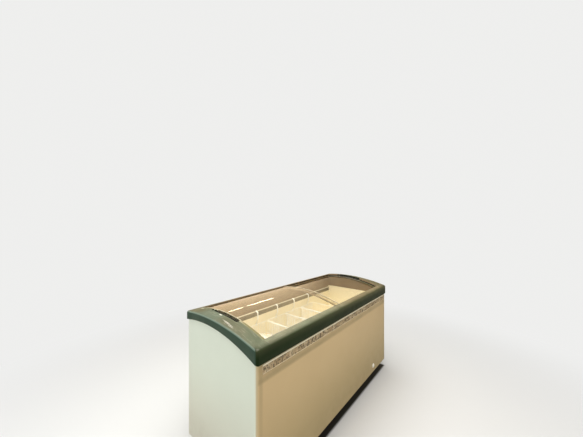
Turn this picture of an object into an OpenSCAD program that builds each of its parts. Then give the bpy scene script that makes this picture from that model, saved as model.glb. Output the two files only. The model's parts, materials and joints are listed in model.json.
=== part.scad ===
// Display chest freezer with a curved top frame and two curved glass lids that slide past each other.
// X runs along the length, the customer's side faces -Y, Z is up from the floor.

/* [Cabinet] */
// Length over the top frame
frame_l = 1675; // [1400:5:1900]
// Depth over the top frame
frame_w = 650; // [620:5:700]
// How far the frame stands out past the panels
frame_overhang = 8; // [5:0.5:12]
// Height of the panels' lower edge above the floor
ground_gap = 70; // [66:1:90]
// Radius of the cabinet's upright corners
corner_r = 17; // [10:1:22]
// Thickness of the outer sheet
sheet_t = 1.5; // [1:0.1:2.5]
// Width of the fold along the lower edge of the panels
fold_w = 14; // [8:1:20]

/* [Arch] */
// How far the top of the arch lies behind the middle of the cabinet
arch_back = 98.5; // [80:0.5:120]
// Height of the frame's inner edge at the top of the arch
crown_z = 848; // [835:1:865]
// Radius of the frame's inner edge, which the glass follows
crown_r = 1126; // [1080:1:1200]
// Radius of the end caps' outer edge
edge_r = 1590; // [1450:5:1750]
// Drop from the inner to the outer edge at the top of the arch
edge_drop = 10; // [6:0.5:14]
// Height of the end caps' side at the top of the arch, from the crown down
skirt_drop = 54; // [48:1:62]

/* [Top frame] */
// Width of each end cap, seen from above
cap_w = 88.5; // [80:0.5:100]
// Width of the front and rear rails, seen from above
rail_w = 54; // [50:0.5:60]
// Radius of the frame's rounded upright corners
frame_corner_r = 17; // [14:1:30]
// Radius along the frame's outer top edge
frame_edge_r = 12; // [8:0.5:14]
// Radius along the frame's inner rim
frame_rim_r = 1.6; // [1:0.2:2.4]
// How far the panels reach up inside the frame
tuck = 10; // [6:1:14]
// Thickness of the frame's skirt inside the well
skirt_t = 15; // [12:0.5:18]

/* [Sliding lids] */
// Thickness of the lid glass
glass_t = 4; // [3:0.5:5]
// Thickness of the edge trims and runners
trim_t = 8; // [7:0.5:10]
// Thickness of the frame over the upper track
track_lip = 6; // [5:0.5:8]
// Gap between the upper and the lower lid
lid_gap = 5; // [5:0.5:8]
// Depth of the tracks behind the frame's inner edge
track_depth = 16; // [13:1:18]
// Running gap between a runner and its track
track_play = 0.5; // [0.3:0.1:0.8]
// Gap between a closed lid and the end cap
lid_end_gap = 5; // [5:0.5:8]
// How far the two closed lids overlap at the middle
lid_overlap = 40; // [24:1:60]
// Width of the trim on a lid's outer end
outer_trim_w = 16; // [12:1:24]
// Width of the trim on a lid's inner end
inner_trim_w = 10; // [8:1:16]
// How deep the glass sits in a trim or runner
glass_seat = 6; // [4:0.5:7]
// How far the glass ends inside the lid's outermost edges
glass_end = 2; // [1:0.5:4]
// How far a runner's inner edge lies back inside its track
runner_inset = 1; // [1:0.5:3]
// Gap between a lid's end trims and its runners
trim_gap = 0.3; // [0.2:0.1:0.5]

/* [Finger notches] */
// Length of the finger notch in an end cap
notch_l = 218; // [160:2:260]
// Width of the notch
notch_w = 16; // [12:1:20]
// Radius of the notch's corners
notch_r = 7; // [4:0.5:7]
// Depth of the notch below the crown
notch_depth = 20; // [14:1:24]
// Middle of the notch, behind the middle of the cabinet
notch_y = 18; // [0:1:40]
// Length of the small lock pocket behind the notch
lock_pocket_l = 16; // [15:1:20]
// Gap between the notch and the lock pocket
lock_pocket_gap = 12; // [8:1:20]

/* [Well] */
// Height of the ledge that the baskets hang on
ledge_z = 695; // [685:1:700]
// Height of the frame's lower edge at the ends of the well
end_rim_z = 711; // [704:1:720]
// Thickness of the insulated floor
floor_t = 58; // [45:1:70]
// Length of the machine bay under the step, from the inner right end
step_l = 250; // [200:5:300]
// Height of the step's top above the panels' lower edge
step_h = 330; // [290:5:360]
// Thickness of the insulated step
step_t = 45; // [35:1:60]
// Radius of the well's upright corners
well_r = 30; // [20:1:40]
// Height of the dark band under the ledge strip
band_h = 39; // [30:1:50]
// How far the dark band stands out of the wall
band_t = 3; // [2:0.5:4]
// How far the ledge strip stands out of the wall
strip_w = 8; // [7:0.5:10]
// Thickness of the ledge strip
strip_t = 4; // [3:0.5:5]
// Height of the ledge strip's lip
strip_lip = 4; // [3:0.5:5]

/* [Wire baskets] */
// Room between the left end wall and the first basket
basket_room_left = 104; // [40:1:140]
// Room between the last basket and the step's face
basket_room_right = 60; // [20:1:120]
// Gap between two baskets
basket_gap = 6; // [4:1:12]
// Height of the baskets' upper rim above the floor
basket_rim_z = 597; // [580:1:620]
// Height of a basket
basket_h = 192; // [150:2:220]
// Thickness of the basket wire
wire = 3.5; // [3:0.5:5]
// Largest distance between two upright wires
wire_pitch = 44; // [30:1:60]
// Number of level wires between a basket's rim and its foot
level_wires = 3; // [1:1:5]
// Width of a hook, made of two uprights
hook_w = 14; // [10:1:24]
// Gap between a hook and the lip that it hangs over
hook_gap = 0.3; // [0.2:0.1:0.5]

/* [Ticket strip] */
// Height of the strip
ticket_h = 45; // [36:1:52]
// Gap between the frame and the strip
ticket_gap = 6; // [3:1:10]
// Distance from the strip's end to the end of the cabinet
ticket_end = 34; // [20:1:60]
// Thickness of the strip's back
ticket_t = 1.5; // [1:0.5:3]
// How far the strip's edges stand out of the panel
ticket_lip = 5; // [4:0.5:7]
// Height of the strip's edges
ticket_edge = 3; // [2:0.5:5]
// Thickness of the blank insert
insert_t = 1; // [0.5:0.5:1.5]

/* [Drain plug] */
// Diameter of the plug
plug_d = 38; // [28:1:46]
// Place of the plug, right of the cabinet's middle
plug_x = 534; // [400:2:560]
// Height of the plug above the panels' lower edge
plug_h = 53; // [40:1:80]
// How far the plug's flange stands out
plug_flange = 3; // [2:0.5:3.5]
// How far the plug's grip stands out of the flange
plug_grip = 4.5; // [3:0.5:4.5]
// Radius along the plug's edges
plug_r = 1.2; // [0.6:0.2:1.6]

/* [Machine grille] */
// Width of the grille
grille_w = 468; // [380:4:480]
// Height of the grille
grille_h = 258; // [220:2:270]
// Distance from the grille to the front of the cabinet
grille_front = 31; // [26:1:60]
// Width of the grille's frame
grille_rim = 18; // [14:1:24]
// How far the grille's frame stands out of the panel
grille_t = 6; // [4:0.5:8]
// Radius of the grille's upper corners
grille_r = 28; // [16:1:36]
// Number of ribs that part the grille's fields
grille_ribs = 4; // [2:1:6]
// Width of a rib
rib_w = 9; // [6:1:14]
// Thickness of the perforated sheet
perf_t = 2; // [1.5:0.5:3]
// Half the width of a diamond hole
perf_r = 6; // [4:0.5:7]
// Distance from one diamond to the next
perf_pitch = 20; // [17:1:30]
// Diameter of the quarter-turn fastener
lock_d = 10; // [7:1:12]
// Width of the fastener's slot
lock_slot = 1.6; // [1:0.2:2.4]
// Gap between the grille and the fastener
lock_gap = 2; // [1:0.5:4]
// Height of the fastener above the panels' lower edge
lock_h = 201; // [150:1:220]

/* [Cord gland] */
// Diameter of the gland's flange
gland_d = 30; // [26:1:36]
// Width of the gland's hexagonal nut over its corners
gland_nut = 23; // [20:1:25]
// Diameter of the gland's cap
gland_cap = 16; // [12:1:18]
// How far the gland stays inside the frame's rear face
gland_clear = 1; // [0.5:0.5:3]
// Distance from the gland's middle to the right end of the cabinet
gland_end = 130; // [80:5:200]
// Height of the gland above the panels' lower edge
gland_h = 60; // [40:1:120]

/* [Castors] */
// Diameter of a castor wheel
wheel_d = 50; // [44:1:54]
// Width of a castor wheel
wheel_w = 20; // [16:1:24]
// Thickness of a castor's tyre
tyre_t = 9; // [8:0.5:10]
// Radius of the tyre's shoulders
tyre_r = 3.5; // [2:0.5:3.5]
// Thickness of the web between hub and tyre
web_t = 8; // [5:1:12]
// Diameter of the wheel's hub
hub_d = 16; // [12:1:18]
// Distance from a castor's middle to the end of the cabinet
castor_end = 95; // [80:1:140]
// Distance from a castor's middle to the front or the back
castor_side = 75; // [70:1:110]
// Width of the castor's plate
plate_w = 62; // [56:1:70]
// Thickness of the castor's steel
castor_t = 3; // [2:0.5:4]
// How far the wheel trails behind the castor's pivot
trail = 14; // [8:1:18]

/* [Hidden] */
$fn = 48;
arch_fn = 360;
eps = 0.01;
big = 3000;
seat = 0.3;
corner_steps = 10;
side_steps = 48;
edge_steps = 6;
rim_steps = 3;
basket_count = 5;

half_l = frame_l / 2;
half_w = frame_w / 2;
body_x = half_l - frame_overhang;
body_y = half_w - frame_overhang;
well_x = half_l - cap_w;
well_y = half_w - rail_w;
pan_z = ground_gap + sheet_t;
well_z = ground_gap + floor_t;
step_z = ground_gap + step_h;
step_x = well_x - step_l;

crown_cz = crown_z - crown_r;
edge_cz = crown_z - edge_drop - edge_r;
under_r = crown_r - skirt_drop;
core_r = under_r + tuck;

upper_r = crown_r - track_lip - track_play - trim_t / 2;
lower_r = upper_r - trim_t - lid_gap;
track_y = well_y + track_depth;
runner_y = track_y - track_play;
runner_w = track_depth - runner_inset;
runner_in = runner_y - runner_w;
glass_y = runner_in + glass_seat;
lid_x = well_x - lid_end_gap;
lid_mid = lid_overlap / 2;

strip_in = well_y - strip_w;
hook_out = strip_in - hook_gap;
basket_y = hook_out;
basket_x = -well_x + basket_room_left;
basket_pitch = (step_x - basket_room_right - basket_x + basket_gap) / basket_count;
basket_w = basket_pitch - basket_gap;
basket_foot = basket_rim_z - basket_h;

ticket_top = arch_z(under_r, crown_cz, -half_w) - ticket_gap;
grille_y = -body_y + grille_front + grille_w / 2;
grille_z = ground_gap + grille_h / 2;
bay_x = step_x + step_t;

// Height of an arc over the cabinet's depth, with radius r and its centre at height cz
function arch_z(r, cz, y) = cz + sqrt(r * r - (y - arch_back) * (y - arch_back));
function crown_at(y) = arch_z(crown_r, crown_cz, y);
function edge_at(y) = arch_z(edge_r, edge_cz, y);

// A flat outline in the Y-Z plane drawn out along X
module along_x(x0, x1) {
    translate([x0, 0, 0]) rotate([90, 0, 90]) linear_extrude(x1 - x0) children();
}

// A flat outline in the X-Z plane drawn out along Y
module along_y(y0, y1) {
    translate([0, y1, 0]) rotate([90, 0, 0]) linear_extrude(y1 - y0) children();
}

// A box given by its two end points on each axis
module block(x, y, z) {
    translate([x[0], y[0], z[0]]) cube([x[1] - x[0], y[1] - y[0], z[1] - z[0]]);
}

module rounded_rect(w, h, r) {
    square([w - 2 * r, h], center = true);
    square([w, h - 2 * r], center = true);
    for (sx = [-1, 1], sy = [-1, 1]) translate([sx * (w / 2 - r), sy * (h / 2 - r)]) circle(r);
}

// Everything under an arc of radius r that shares its centre with the crown
module under_arch(r) {
    translate([arch_back, crown_cz]) circle(r, $fn = arch_fn);
}

// A strip of the arch between two radii and two places over the depth
module arch_strip(r0, r1, y0, y1) {
    intersection() {
        difference() {
            under_arch(r1);
            under_arch(r0);
        }
        translate([y0, 0]) square([y1 - y0, big]);
    }
}

// The cabinet's outline, inset from the outer sheet
module outline(inset) {
    rounded_rect(2 * (body_x - inset), 2 * (body_y - inset), corner_r - inset);
}

// The cabinet's whole form under the arch, inset from the outer sheet
module core(inset, low, play = 0) {
    intersection() {
        translate([0, 0, low]) linear_extrude(big) outline(inset);
        along_x(-half_l, half_l) under_arch(core_r - play);
    }
}

// The outer sheet as a closed shell, open above and below
module shell() {
    difference() {
        core(0, ground_gap, seat);
        translate([0, 0, -eps]) linear_extrude(big) outline(sheet_t);
    }
}

// A fold of the sheet under the base, along one side of the outline
module fold(x, y) {
    intersection() {
        translate([0, 0, ground_gap]) linear_extrude(sheet_t) difference() {
            outline(sheet_t - eps);
            square([2 * (body_x - fold_w), 2 * (body_y - fold_w)], center = true);
        }
        block(x, y, [0, big]);
    }
}

module long_panel(side) {
    y = side < 0 ? [-half_w, -body_y + corner_r] : [body_y - corner_r, half_w];
    union() {
        intersection() {
            shell();
            block([-half_l, half_l], y, [0, big]);
        }
        fold([-half_l, half_l], side < 0 ? [-half_w, -body_y + fold_w] : [body_y - fold_w, half_w]);
    }
}

module front_panel() { color([0.78, 0.70, 0.57]) long_panel(-1); }
module back_panel() { color([0.84, 0.87, 0.82]) long_panel(1); }

module end_panel(side) {
    x = side < 0 ? [-half_l, -body_x + sheet_t] : [body_x - sheet_t, half_l];
    flat_y = body_y - corner_r - eps;
    intersection() {
        shell();
        block(x, [-flat_y, flat_y], [0, big]);
    }
}

module left_end_panel() { color([0.84, 0.87, 0.82]) end_panel(-1); }

module right_end_panel() {
    color([0.84, 0.87, 0.82]) difference() {
        end_panel(1);
        along_x(body_x - 2 * sheet_t, half_l) grille_field();
    }
}

// The tray that closes the cabinet below, inside the folds of the panels
module base_pan() {
    color([0.55, 0.57, 0.56]) translate([0, 0, ground_gap]) linear_extrude(sheet_t)
        square([2 * (body_x - fold_w - seat), 2 * (body_y - fold_w - seat)], center = true);
}

// An insulated wall with its inner lining: part of the core, cut to a box, with its ledge
module wall(x, y) {
    difference() {
        intersection() {
            core(sheet_t, pan_z, seat);
            block(x, y, [0, big]);
        }
        ledge_space();
    }
}

// The space that the frame's skirts fill, above the ledges of the walls
module ledge_space() {
    skirt_x = well_x + skirt_t;
    skirt_y = well_y + skirt_t;
    block([-skirt_x, skirt_x], [-skirt_y, skirt_y], [end_rim_z, big]);
    block([-well_x, well_x], [-skirt_y, skirt_y], [ledge_z, big]);
}

module front_wall() { color([0.95, 0.91, 0.80]) wall([-half_l, half_l], [-half_w, -well_y]); }
module back_wall() { color([0.95, 0.91, 0.80]) wall([-half_l, half_l], [well_y, half_w]); }
module left_end_wall() { color([0.95, 0.91, 0.80]) wall([-half_l, -well_x], [-well_y, well_y]); }

module right_end_wall() {
    color([0.95, 0.91, 0.80]) intersection() {
        wall([well_x, half_l], [-well_y, well_y]);
        block([0, half_l], [-half_w, half_w], [step_z - step_t, big]);
    }
}

module well_floor() {
    color([0.95, 0.91, 0.80]) block([-well_x, step_x], [-well_y, well_y], [pan_z, well_z]);
}

module step_riser() {
    color([0.95, 0.91, 0.80]) block([step_x, bay_x], [-well_y, well_y], [pan_z, step_z - step_t]);
}

module step_top() {
    color([0.95, 0.91, 0.80]) block([step_x, well_x], [-well_y, well_y], [step_z - step_t, step_z]);
}

// Hollow corner fillets that round the well's four upright corners
module well_corner_coves() {
    color([0.95, 0.91, 0.80]) for (sx = [-1, 1], sy = [-1, 1])
        translate([sx * well_x, sy * well_y, sx < 0 ? well_z : step_z])
            linear_extrude(ledge_z - band_h - (sx < 0 ? well_z : step_z)) difference() {
                translate([sx < 0 ? 0 : -well_r, sy < 0 ? 0 : -well_r]) square(well_r);
                translate([-sx * well_r, -sy * well_r]) circle(well_r);
            }
}

// The light strip along the ledge, with the lip that the basket hooks hang over
module ledge_strip(side) {
    color([0.88, 0.87, 0.80]) along_x(-well_x, well_x) mirror([side < 0 ? 1 : 0, 0]) {
        translate([strip_in, ledge_z - strip_t]) square([strip_w, strip_t]);
        translate([strip_in, ledge_z - strip_t]) square([strip_t / 2, strip_t + strip_lip]);
    }
}

// The dark band under the ledge strip
module ledge_band(side) {
    color([0.36, 0.36, 0.28]) along_x(-well_x, well_x) mirror([side < 0 ? 1 : 0, 0])
        translate([well_y - band_t, ledge_z - band_h]) square([band_t, band_h - strip_t]);
}

module front_ledge_strip() { ledge_strip(-1); }
module rear_ledge_strip() { ledge_strip(1); }
module front_ledge_band() { ledge_band(-1); }
module rear_ledge_band() { ledge_band(1); }

// Cross-section of a rail seen along X: rounded outside, sloping top, with both tracks
module rail_section(side) {
    y_in = side * well_y;
    y_out = side * half_w;
    z_edge = edge_at(y_out);
    slope = atan((crown_at(y_in) - z_edge) / (rail_w - frame_edge_r));
    y_c = y_out - side * frame_edge_r;
    z_c = z_edge - frame_edge_r;
    y_rim = y_in + side * frame_rim_r;
    z_rim = crown_at(y_in) - rim_drop(slope);
    difference() {
        union() {
            translate([y_c, z_c]) circle(frame_edge_r);
            translate([y_rim, z_rim]) circle(frame_rim_r);
            polygon([
                [y_out, 0], [y_out, z_c], [y_c, z_c],
                [y_c + side * frame_edge_r * sin(slope), z_c + frame_edge_r * cos(slope)],
                [y_rim + side * frame_rim_r * sin(slope), z_rim + frame_rim_r * cos(slope)],
                [y_rim, z_rim], [y_in, z_rim], [y_in, 0]
            ]);
        }
        for (r = [upper_r, lower_r]) {
            half = trim_t / 2 + track_play;
            arch_strip(r - half, r + half, side < 0 ? -track_y : well_y - eps,
                       side < 0 ? -well_y + eps : track_y);
        }
        square([big, 2 * under_z(side)], center = true);
    }
}

// Height of the frame's lower edge over the front or the back
function under_z(side) = arch_z(under_r, crown_cz, side * half_w);

// How far the middle of the inner rim's rounding lies below the crown, under a top that slopes
function rim_drop(slope) = frame_rim_r * (tan(slope) + 1 / cos(slope));

module rail(side) {
    color([0.24, 0.31, 0.29]) difference() {
        union() {
            along_x(-well_x, well_x) rail_section(side);
            block([-well_x, well_x], side < 0 ? [-well_y - skirt_t + seat, -well_y]
                                              : [well_y, well_y + skirt_t - seat],
                  [ledge_z, under_z(side) + tuck]);
        }
        frame_seat();
    }
}

// What the frame's underside is cut to: the cabinet's core with its ledges
module frame_seat() {
    difference() {
        core(-seat, 0);
        ledge_space_for_frame();
    }
}

module ledge_space_for_frame() {
    skirt_x = well_x + skirt_t - seat;
    skirt_y = well_y + skirt_t - seat;
    block([-skirt_x, skirt_x], [-skirt_y, skirt_y], [end_rim_z, big]);
    block([-well_x, well_x], [-skirt_y, skirt_y], [ledge_z, big]);
}

module front_rail() { rail(-1); }
module rear_rail() { rail(1); }

// Stations around an end cap's outline: place and direction inwards, from front seam to rear seam
function cap_stations() = let (cx = -half_l + frame_corner_r, cy = half_w - frame_corner_r) concat(
    [[-well_x, -half_w, 0, 1]],
    [for (i = [0:corner_steps]) let (a = 270 - 90 * i / corner_steps)
        [cx + frame_corner_r * cos(a), -cy + frame_corner_r * sin(a), -cos(a), -sin(a)]],
    [for (i = [1:side_steps - 1]) [-half_l, -cy + 2 * cy * i / side_steps, 1, 0]],
    [for (i = [0:corner_steps]) let (a = 180 - 90 * i / corner_steps)
        [cx + frame_corner_r * cos(a), cy + frame_corner_r * sin(a), -cos(a), -sin(a)]],
    [[-well_x, half_w, 0, -1]]
);

// One section of the cap, from its outer foot over the rounded edge to its inner foot
function cap_loop(s, t, low) =
    let (q = [-well_x, -well_y + 2 * well_y * t],
         z0 = edge_at(s[1]),
         z1 = crown_at(q[1]),
         d = norm([q[0] - s[0], q[1] - s[1]]),
         u = [(q[0] - s[0]) / d, (q[1] - s[1]) / d],
         slope = atan((z1 - z0) / (d - frame_edge_r)))
    concat(
        [[s[0], s[1], low]],
        [for (i = [0:edge_steps]) let (a = 180 - (90 - slope) * i / edge_steps,
                                       e = frame_edge_r * (1 + cos(a)))
            [s[0] + s[2] * e, s[1] + s[3] * e, z0 - frame_edge_r + frame_edge_r * sin(a)]],
        [for (i = [0:rim_steps]) let (a = (90 - slope) + (90 + slope) * i / rim_steps,
                                      e = frame_rim_r * (1 + cos(a)))
            [q[0] - u[0] * e, q[1] - u[1] * e, z1 - rim_drop(slope) + frame_rim_r * sin(a)]],
        [[q[0], q[1], low]]
    );

// A solid skinned over a row of loops with the same number of points
module skin(loops) {
    n = len(loops[0]);
    m = len(loops);
    polyhedron(
        points = [for (l = loops) each l],
        faces = concat(
            [[for (i = [0:n - 1]) i]],
            [for (k = [0:m - 2], i = [0:n - 1]) let (j = (i + 1) % n)
                each [[k * n + i, (k + 1) * n + j, k * n + j], [k * n + i, (k + 1) * n + i, (k + 1) * n + j]]],
            [[for (i = [n - 1:-1:0]) (m - 1) * n + i]]
        )
    );
}

// The cap's hood over the end wall, with its skirt outside
module cap_hood() {
    stations = cap_stations();
    last = len(stations) - 1;
    difference() {
        skin([for (i = [0:last]) cap_loop(stations[i], i / last, ledge_z)]);
        along_x(-half_l - seat, 0) under_arch(under_r);
        core(-seat, 0);
    }
}

// The cap's skirt inside the well, from the rim up into the hood
module cap_skirt() {
    reach = well_y + skirt_t - seat;
    along_x(-well_x - skirt_t + seat, -well_x) intersection() {
        under_arch(core_r + 2 * seat);
        translate([-reach, end_rim_z]) square([2 * reach, big]);
    }
}

module end_cap() {
    difference() {
        union() {
            cap_hood();
            cap_skirt();
        }
        finger_notch();
    }
}

// The finger notch and the lock pocket in a cap's inner edge
module finger_notch() {
    notch_back = notch_y + notch_l / 2;
    pocket_y = notch_back + lock_pocket_gap + lock_pocket_l / 2;
    difference() {
        linear_extrude(big) for (p = [[notch_y, notch_l], [pocket_y, lock_pocket_l]])
            translate([-well_x, p[0]]) rounded_rect(2 * notch_w, p[1], notch_r);
        along_x(-half_l, 0) under_arch(crown_r - notch_depth);
    }
}

module left_end_cap() { color([0.26, 0.34, 0.31]) end_cap(); }
module right_end_cap() { color([0.26, 0.34, 0.31]) mirror([1, 0, 0]) end_cap(); }

// Where a lid reaches along X, from its outer to its inner end
function lid_span(side) = side < 0 ? [-lid_x, lid_mid] : [-lid_mid, lid_x];
function lid_r(side) = side < 0 ? upper_r : lower_r;

module lid_glass(side) {
    x = lid_span(side);
    r = lid_r(side);
    color([0.72, 0.80, 0.76, 0.35]) along_x(x[0] + glass_end, x[1] - glass_end)
        arch_strip(r - glass_t / 2, r + glass_t / 2, -glass_y, glass_y);
}

// The space that the glass needs inside the trims and runners
module glass_slot(side) {
    x = lid_span(side);
    r = lid_r(side);
    play = seat / 2;
    along_x(x[0] + glass_end - play, x[1] - glass_end + play)
        arch_strip(r - glass_t / 2 - play, r + glass_t / 2 + play, -glass_y - play, glass_y + play);
}

module lid_trim(side, x) {
    r = lid_r(side);
    reach = runner_in - trim_gap;
    color([0.16, 0.20, 0.18]) difference() {
        along_x(x[0], x[1]) arch_strip(r - trim_t / 2, r + trim_t / 2, -reach, reach);
        glass_slot(side);
    }
}

module lid_runner(side, end) {
    x = lid_span(side);
    r = lid_r(side);
    color([0.20, 0.25, 0.23]) difference() {
        along_x(x[0], x[1]) arch_strip(r - trim_t / 2, r + trim_t / 2,
                                       end < 0 ? -runner_y : runner_in, end < 0 ? -runner_in : runner_y);
        glass_slot(side);
    }
}

module left_lid_glass() { lid_glass(-1); }
module left_lid_outer_trim() { lid_trim(-1, [-lid_x, -lid_x + outer_trim_w]); }
module left_lid_inner_trim() { lid_trim(-1, [lid_mid - inner_trim_w, lid_mid]); }
module left_lid_front_runner() { lid_runner(-1, -1); }
module left_lid_rear_runner() { lid_runner(-1, 1); }
module right_lid_glass() { lid_glass(1); }
module right_lid_outer_trim() { lid_trim(1, [lid_x - outer_trim_w, lid_x]); }
module right_lid_inner_trim() { lid_trim(1, [-lid_mid, -lid_mid + inner_trim_w]); }
module right_lid_front_runner() { lid_runner(1, -1); }
module right_lid_rear_runner() { lid_runner(1, 1); }

// The ticket strip on the front: a back with a rolled edge above and below
module ticket_strip() {
    low = ticket_top - ticket_h;
    x = body_x - ticket_end;
    roll = ticket_edge / 2;
    color([0.80, 0.80, 0.76]) along_x(-x, x) {
        translate([-body_y - ticket_t, low]) square([ticket_t, ticket_h]);
        for (z = [low, ticket_top - ticket_edge]) {
            translate([-body_y - ticket_lip + roll, z]) square([ticket_lip - roll, ticket_edge]);
            translate([-body_y - ticket_lip + roll, z + roll]) circle(roll);
        }
    }
}

module ticket_insert() {
    low = ticket_top - ticket_h + ticket_edge;
    x = body_x - ticket_end;
    color([0.70, 0.66, 0.56]) along_x(-x, x)
        translate([-body_y - ticket_t - insert_t, low]) square([insert_t, ticket_h - 2 * ticket_edge]);
}

// A turned disc whose outer edge is rounded on its far side
module turned_disc(d, h, r) {
    rotate_extrude() intersection() {
        rounded_rect(d, 2 * h, r);
        square([d, h]);
    }
}

module drain_plug() {
    bar_l = plug_d - 2 * plug_flange;
    color([0.95, 0.95, 0.93]) translate([plug_x, -body_y, ground_gap + plug_h]) rotate([90, 0, 0]) {
        turned_disc(plug_d, plug_flange, plug_r);
        turned_disc(plug_d / 2, plug_flange + plug_grip, plug_r);
        linear_extrude(plug_flange + plug_grip / 2) rounded_rect(bar_l, plug_flange, plug_flange / 3);
    }
}

// The grille's outline in the Y-Z plane, with rounded upper corners
module grille_outline(inset) {
    w = grille_w - 2 * inset;
    h = grille_h - 2 * inset;
    r = grille_r - inset;
    translate([grille_y, grille_z]) {
        rounded_rect(w, h, r);
        translate([-w / 2, -h / 2]) square([w, h / 2]);
    }
}

module grille_field() { grille_outline(grille_rim); }

module grille_frame() {
    field_w = grille_w - 2 * grille_rim;
    color([0.90, 0.88, 0.78]) along_x(body_x, body_x + grille_t) difference() {
        grille_outline(0);
        difference() {
            grille_field();
            for (i = [1:grille_ribs])
                translate([grille_y - field_w / 2 + field_w * i / (grille_ribs + 1) - rib_w / 2, 0])
                    square([rib_w, big]);
        }
    }
}

// The perforated sheet behind the frame, with staggered rows of diamond holes
module grille_panel() {
    cols = floor((grille_w - 2 * grille_rim - 2 * perf_pitch) / perf_pitch);
    rows = floor((grille_h - 2 * grille_rim - perf_pitch) / perf_pitch);
    color([0.86, 0.84, 0.74]) along_x(body_x - perf_t, body_x) difference() {
        grille_outline(grille_rim + seat);
        for (k = [0, 1], i = [k:cols], j = [k:rows])
            translate([grille_y + (i - (cols + k) / 2) * perf_pitch,
                       grille_z + (j - (rows + k) / 2) * perf_pitch])
                circle(perf_r, $fn = 4);
    }
}

// The quarter-turn fastener beside the grille, with its slot
module grille_fastener() {
    y = grille_y - grille_w / 2 - lock_d / 2 - lock_gap;
    lock_t = grille_t / 2;
    color([0.08, 0.08, 0.08]) translate([body_x, y, ground_gap + lock_h]) rotate([0, 90, 0]) difference() {
        cylinder(d = lock_d, h = lock_t);
        translate([-lock_d, -lock_slot / 2, lock_t / 2]) cube([2 * lock_d, lock_slot, lock_t]);
    }
}

// The closed gland of the mains cord low on the back: flange, nut and cap
module cord_gland() {
    out = frame_overhang - gland_clear;
    step = out / 3;
    color([0.10, 0.10, 0.10]) translate([body_x - gland_end, body_y, ground_gap + gland_h])
        rotate([-90, 0, 0]) {
            turned_disc(gland_d, step, step / 2);
            cylinder(d = gland_nut, h = 2 * step, $fn = 6);
            turned_disc(gland_cap, out, step / 2);
        }
}

// Places of the four castors, with the direction in which each one trails
castor_places = [for (sx = [-1, 1], sy = [-1, 1])
    [sx * (body_x - castor_end), sy * (body_y - castor_side), sy]];

module castor_fork() {
    top = ground_gap;
    crown = wheel_d + 2 * castor_t;
    cheek_h = crown - wheel_d / 2 + castor_t;
    translate([0, 0, top - castor_t]) linear_extrude(castor_t) rounded_rect(plate_w, plate_w, castor_t);
    translate([0, 0, crown]) cylinder(d = plate_w * 0.7, h = top - castor_t - crown);
    translate([-wheel_w / 2 - 2 * castor_t, -trail - wheel_d / 4, crown - castor_t])
        cube([wheel_w + 4 * castor_t, trail + wheel_d / 2, castor_t]);
    for (s = [-1, 1]) translate([s * (wheel_w / 2 + 1.5 * castor_t), 0, 0]) rotate([90, 0, 90])
        linear_extrude(castor_t, center = true) {
            translate([-trail, wheel_d / 2]) circle(wheel_d / 4);
            translate([-trail - wheel_d / 4, wheel_d / 2]) square([trail + wheel_d / 2, cheek_h - castor_t]);
        }
    translate([0, -trail, wheel_d / 2]) rotate([0, 90, 0])
        cylinder(d = 2 * castor_t, h = wheel_w + 5 * castor_t, center = true);
}

// A wheel turned about its axle: hub, web and a tyre with rounded shoulders
module castor_wheel() {
    bore_r = castor_t + seat / 2;
    translate([0, -trail, wheel_d / 2]) rotate([0, 90, 0]) rotate_extrude() {
        translate([bore_r, -wheel_w / 2]) square([hub_d / 2 - bore_r, wheel_w]);
        translate([bore_r, -web_t / 2]) square([(wheel_d - tyre_t) / 2 - bore_r, web_t]);
        translate([(wheel_d - tyre_t) / 2, 0]) rounded_rect(tyre_t, wheel_w, tyre_r);
    }
}

module castor_forks() {
    color([0.62, 0.63, 0.64]) for (p = castor_places)
        translate([p[0], p[1], 0]) mirror([0, p[2] < 0 ? 1 : 0, 0]) castor_fork();
}

module castor_wheels() {
    color([0.10, 0.10, 0.10]) for (p = castor_places)
        translate([p[0], p[1], 0]) mirror([0, p[2] < 0 ? 1 : 0, 0]) castor_wheel();
}

// A flat wire mesh, w wide and h high, with a number of wires each way
module mesh(w, h, across, up) {
    for (i = [0:across]) translate([(w - wire) * i / across, 0]) square([wire, h]);
    for (j = [0:up]) translate([0, (h - wire) * j / up]) square([w, wire]);
}

// A hook of two uprights that curls over the ledge strip's lip
module hook() {
    lip_z = ledge_z + strip_lip + hook_gap;
    for (s = [-1, 1]) translate([s * (hook_w - wire) / 2 - wire / 2, 0, basket_rim_z - wire])
        cube([wire, wire, lip_z + wire - basket_rim_z + wire]);
    translate([-hook_w / 2, 0, lip_z]) cube([hook_w, strip_t / 2 + 2 * hook_gap + 2 * wire, wire]);
    translate([-hook_w / 2, strip_t / 2 + 2 * hook_gap + wire, lip_z - wire / 2])
        cube([hook_w, wire, wire]);
}

module basket(i) {
    mid = basket_x + basket_w / 2 + (i - 1) * basket_pitch;
    depth = 2 * basket_y;
    long_n = round(depth / wire_pitch);
    short_n = round(basket_w / wire_pitch);
    inner = basket_y - wire - seat;
    color([0.93, 0.93, 0.90]) translate([mid, 0, 0]) {
        for (side = [-1, 1]) {
            mirror([0, side < 0 ? 1 : 0, 0]) translate([0, basket_y - wire, 0]) {
                along_y(0, wire) translate([-basket_w / 2, basket_foot])
                    mesh(basket_w, basket_h, short_n, level_wires);
                hook();
            }
            along_x(side < 0 ? -basket_w / 2 : basket_w / 2 - wire,
                    side < 0 ? -basket_w / 2 + wire : basket_w / 2)
                translate([-inner, basket_foot]) mesh(2 * inner, basket_h, long_n, level_wires);
        }
        translate([-basket_w / 2 + wire + seat, -inner, basket_foot]) linear_extrude(wire)
            mesh(basket_w - 2 * (wire + seat), 2 * inner, short_n, long_n);
    }
}

module basket_1() { basket(1); }
module basket_2() { basket(2); }
module basket_3() { basket(3); }
module basket_4() { basket(4); }
module basket_5() { basket(5); }

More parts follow.
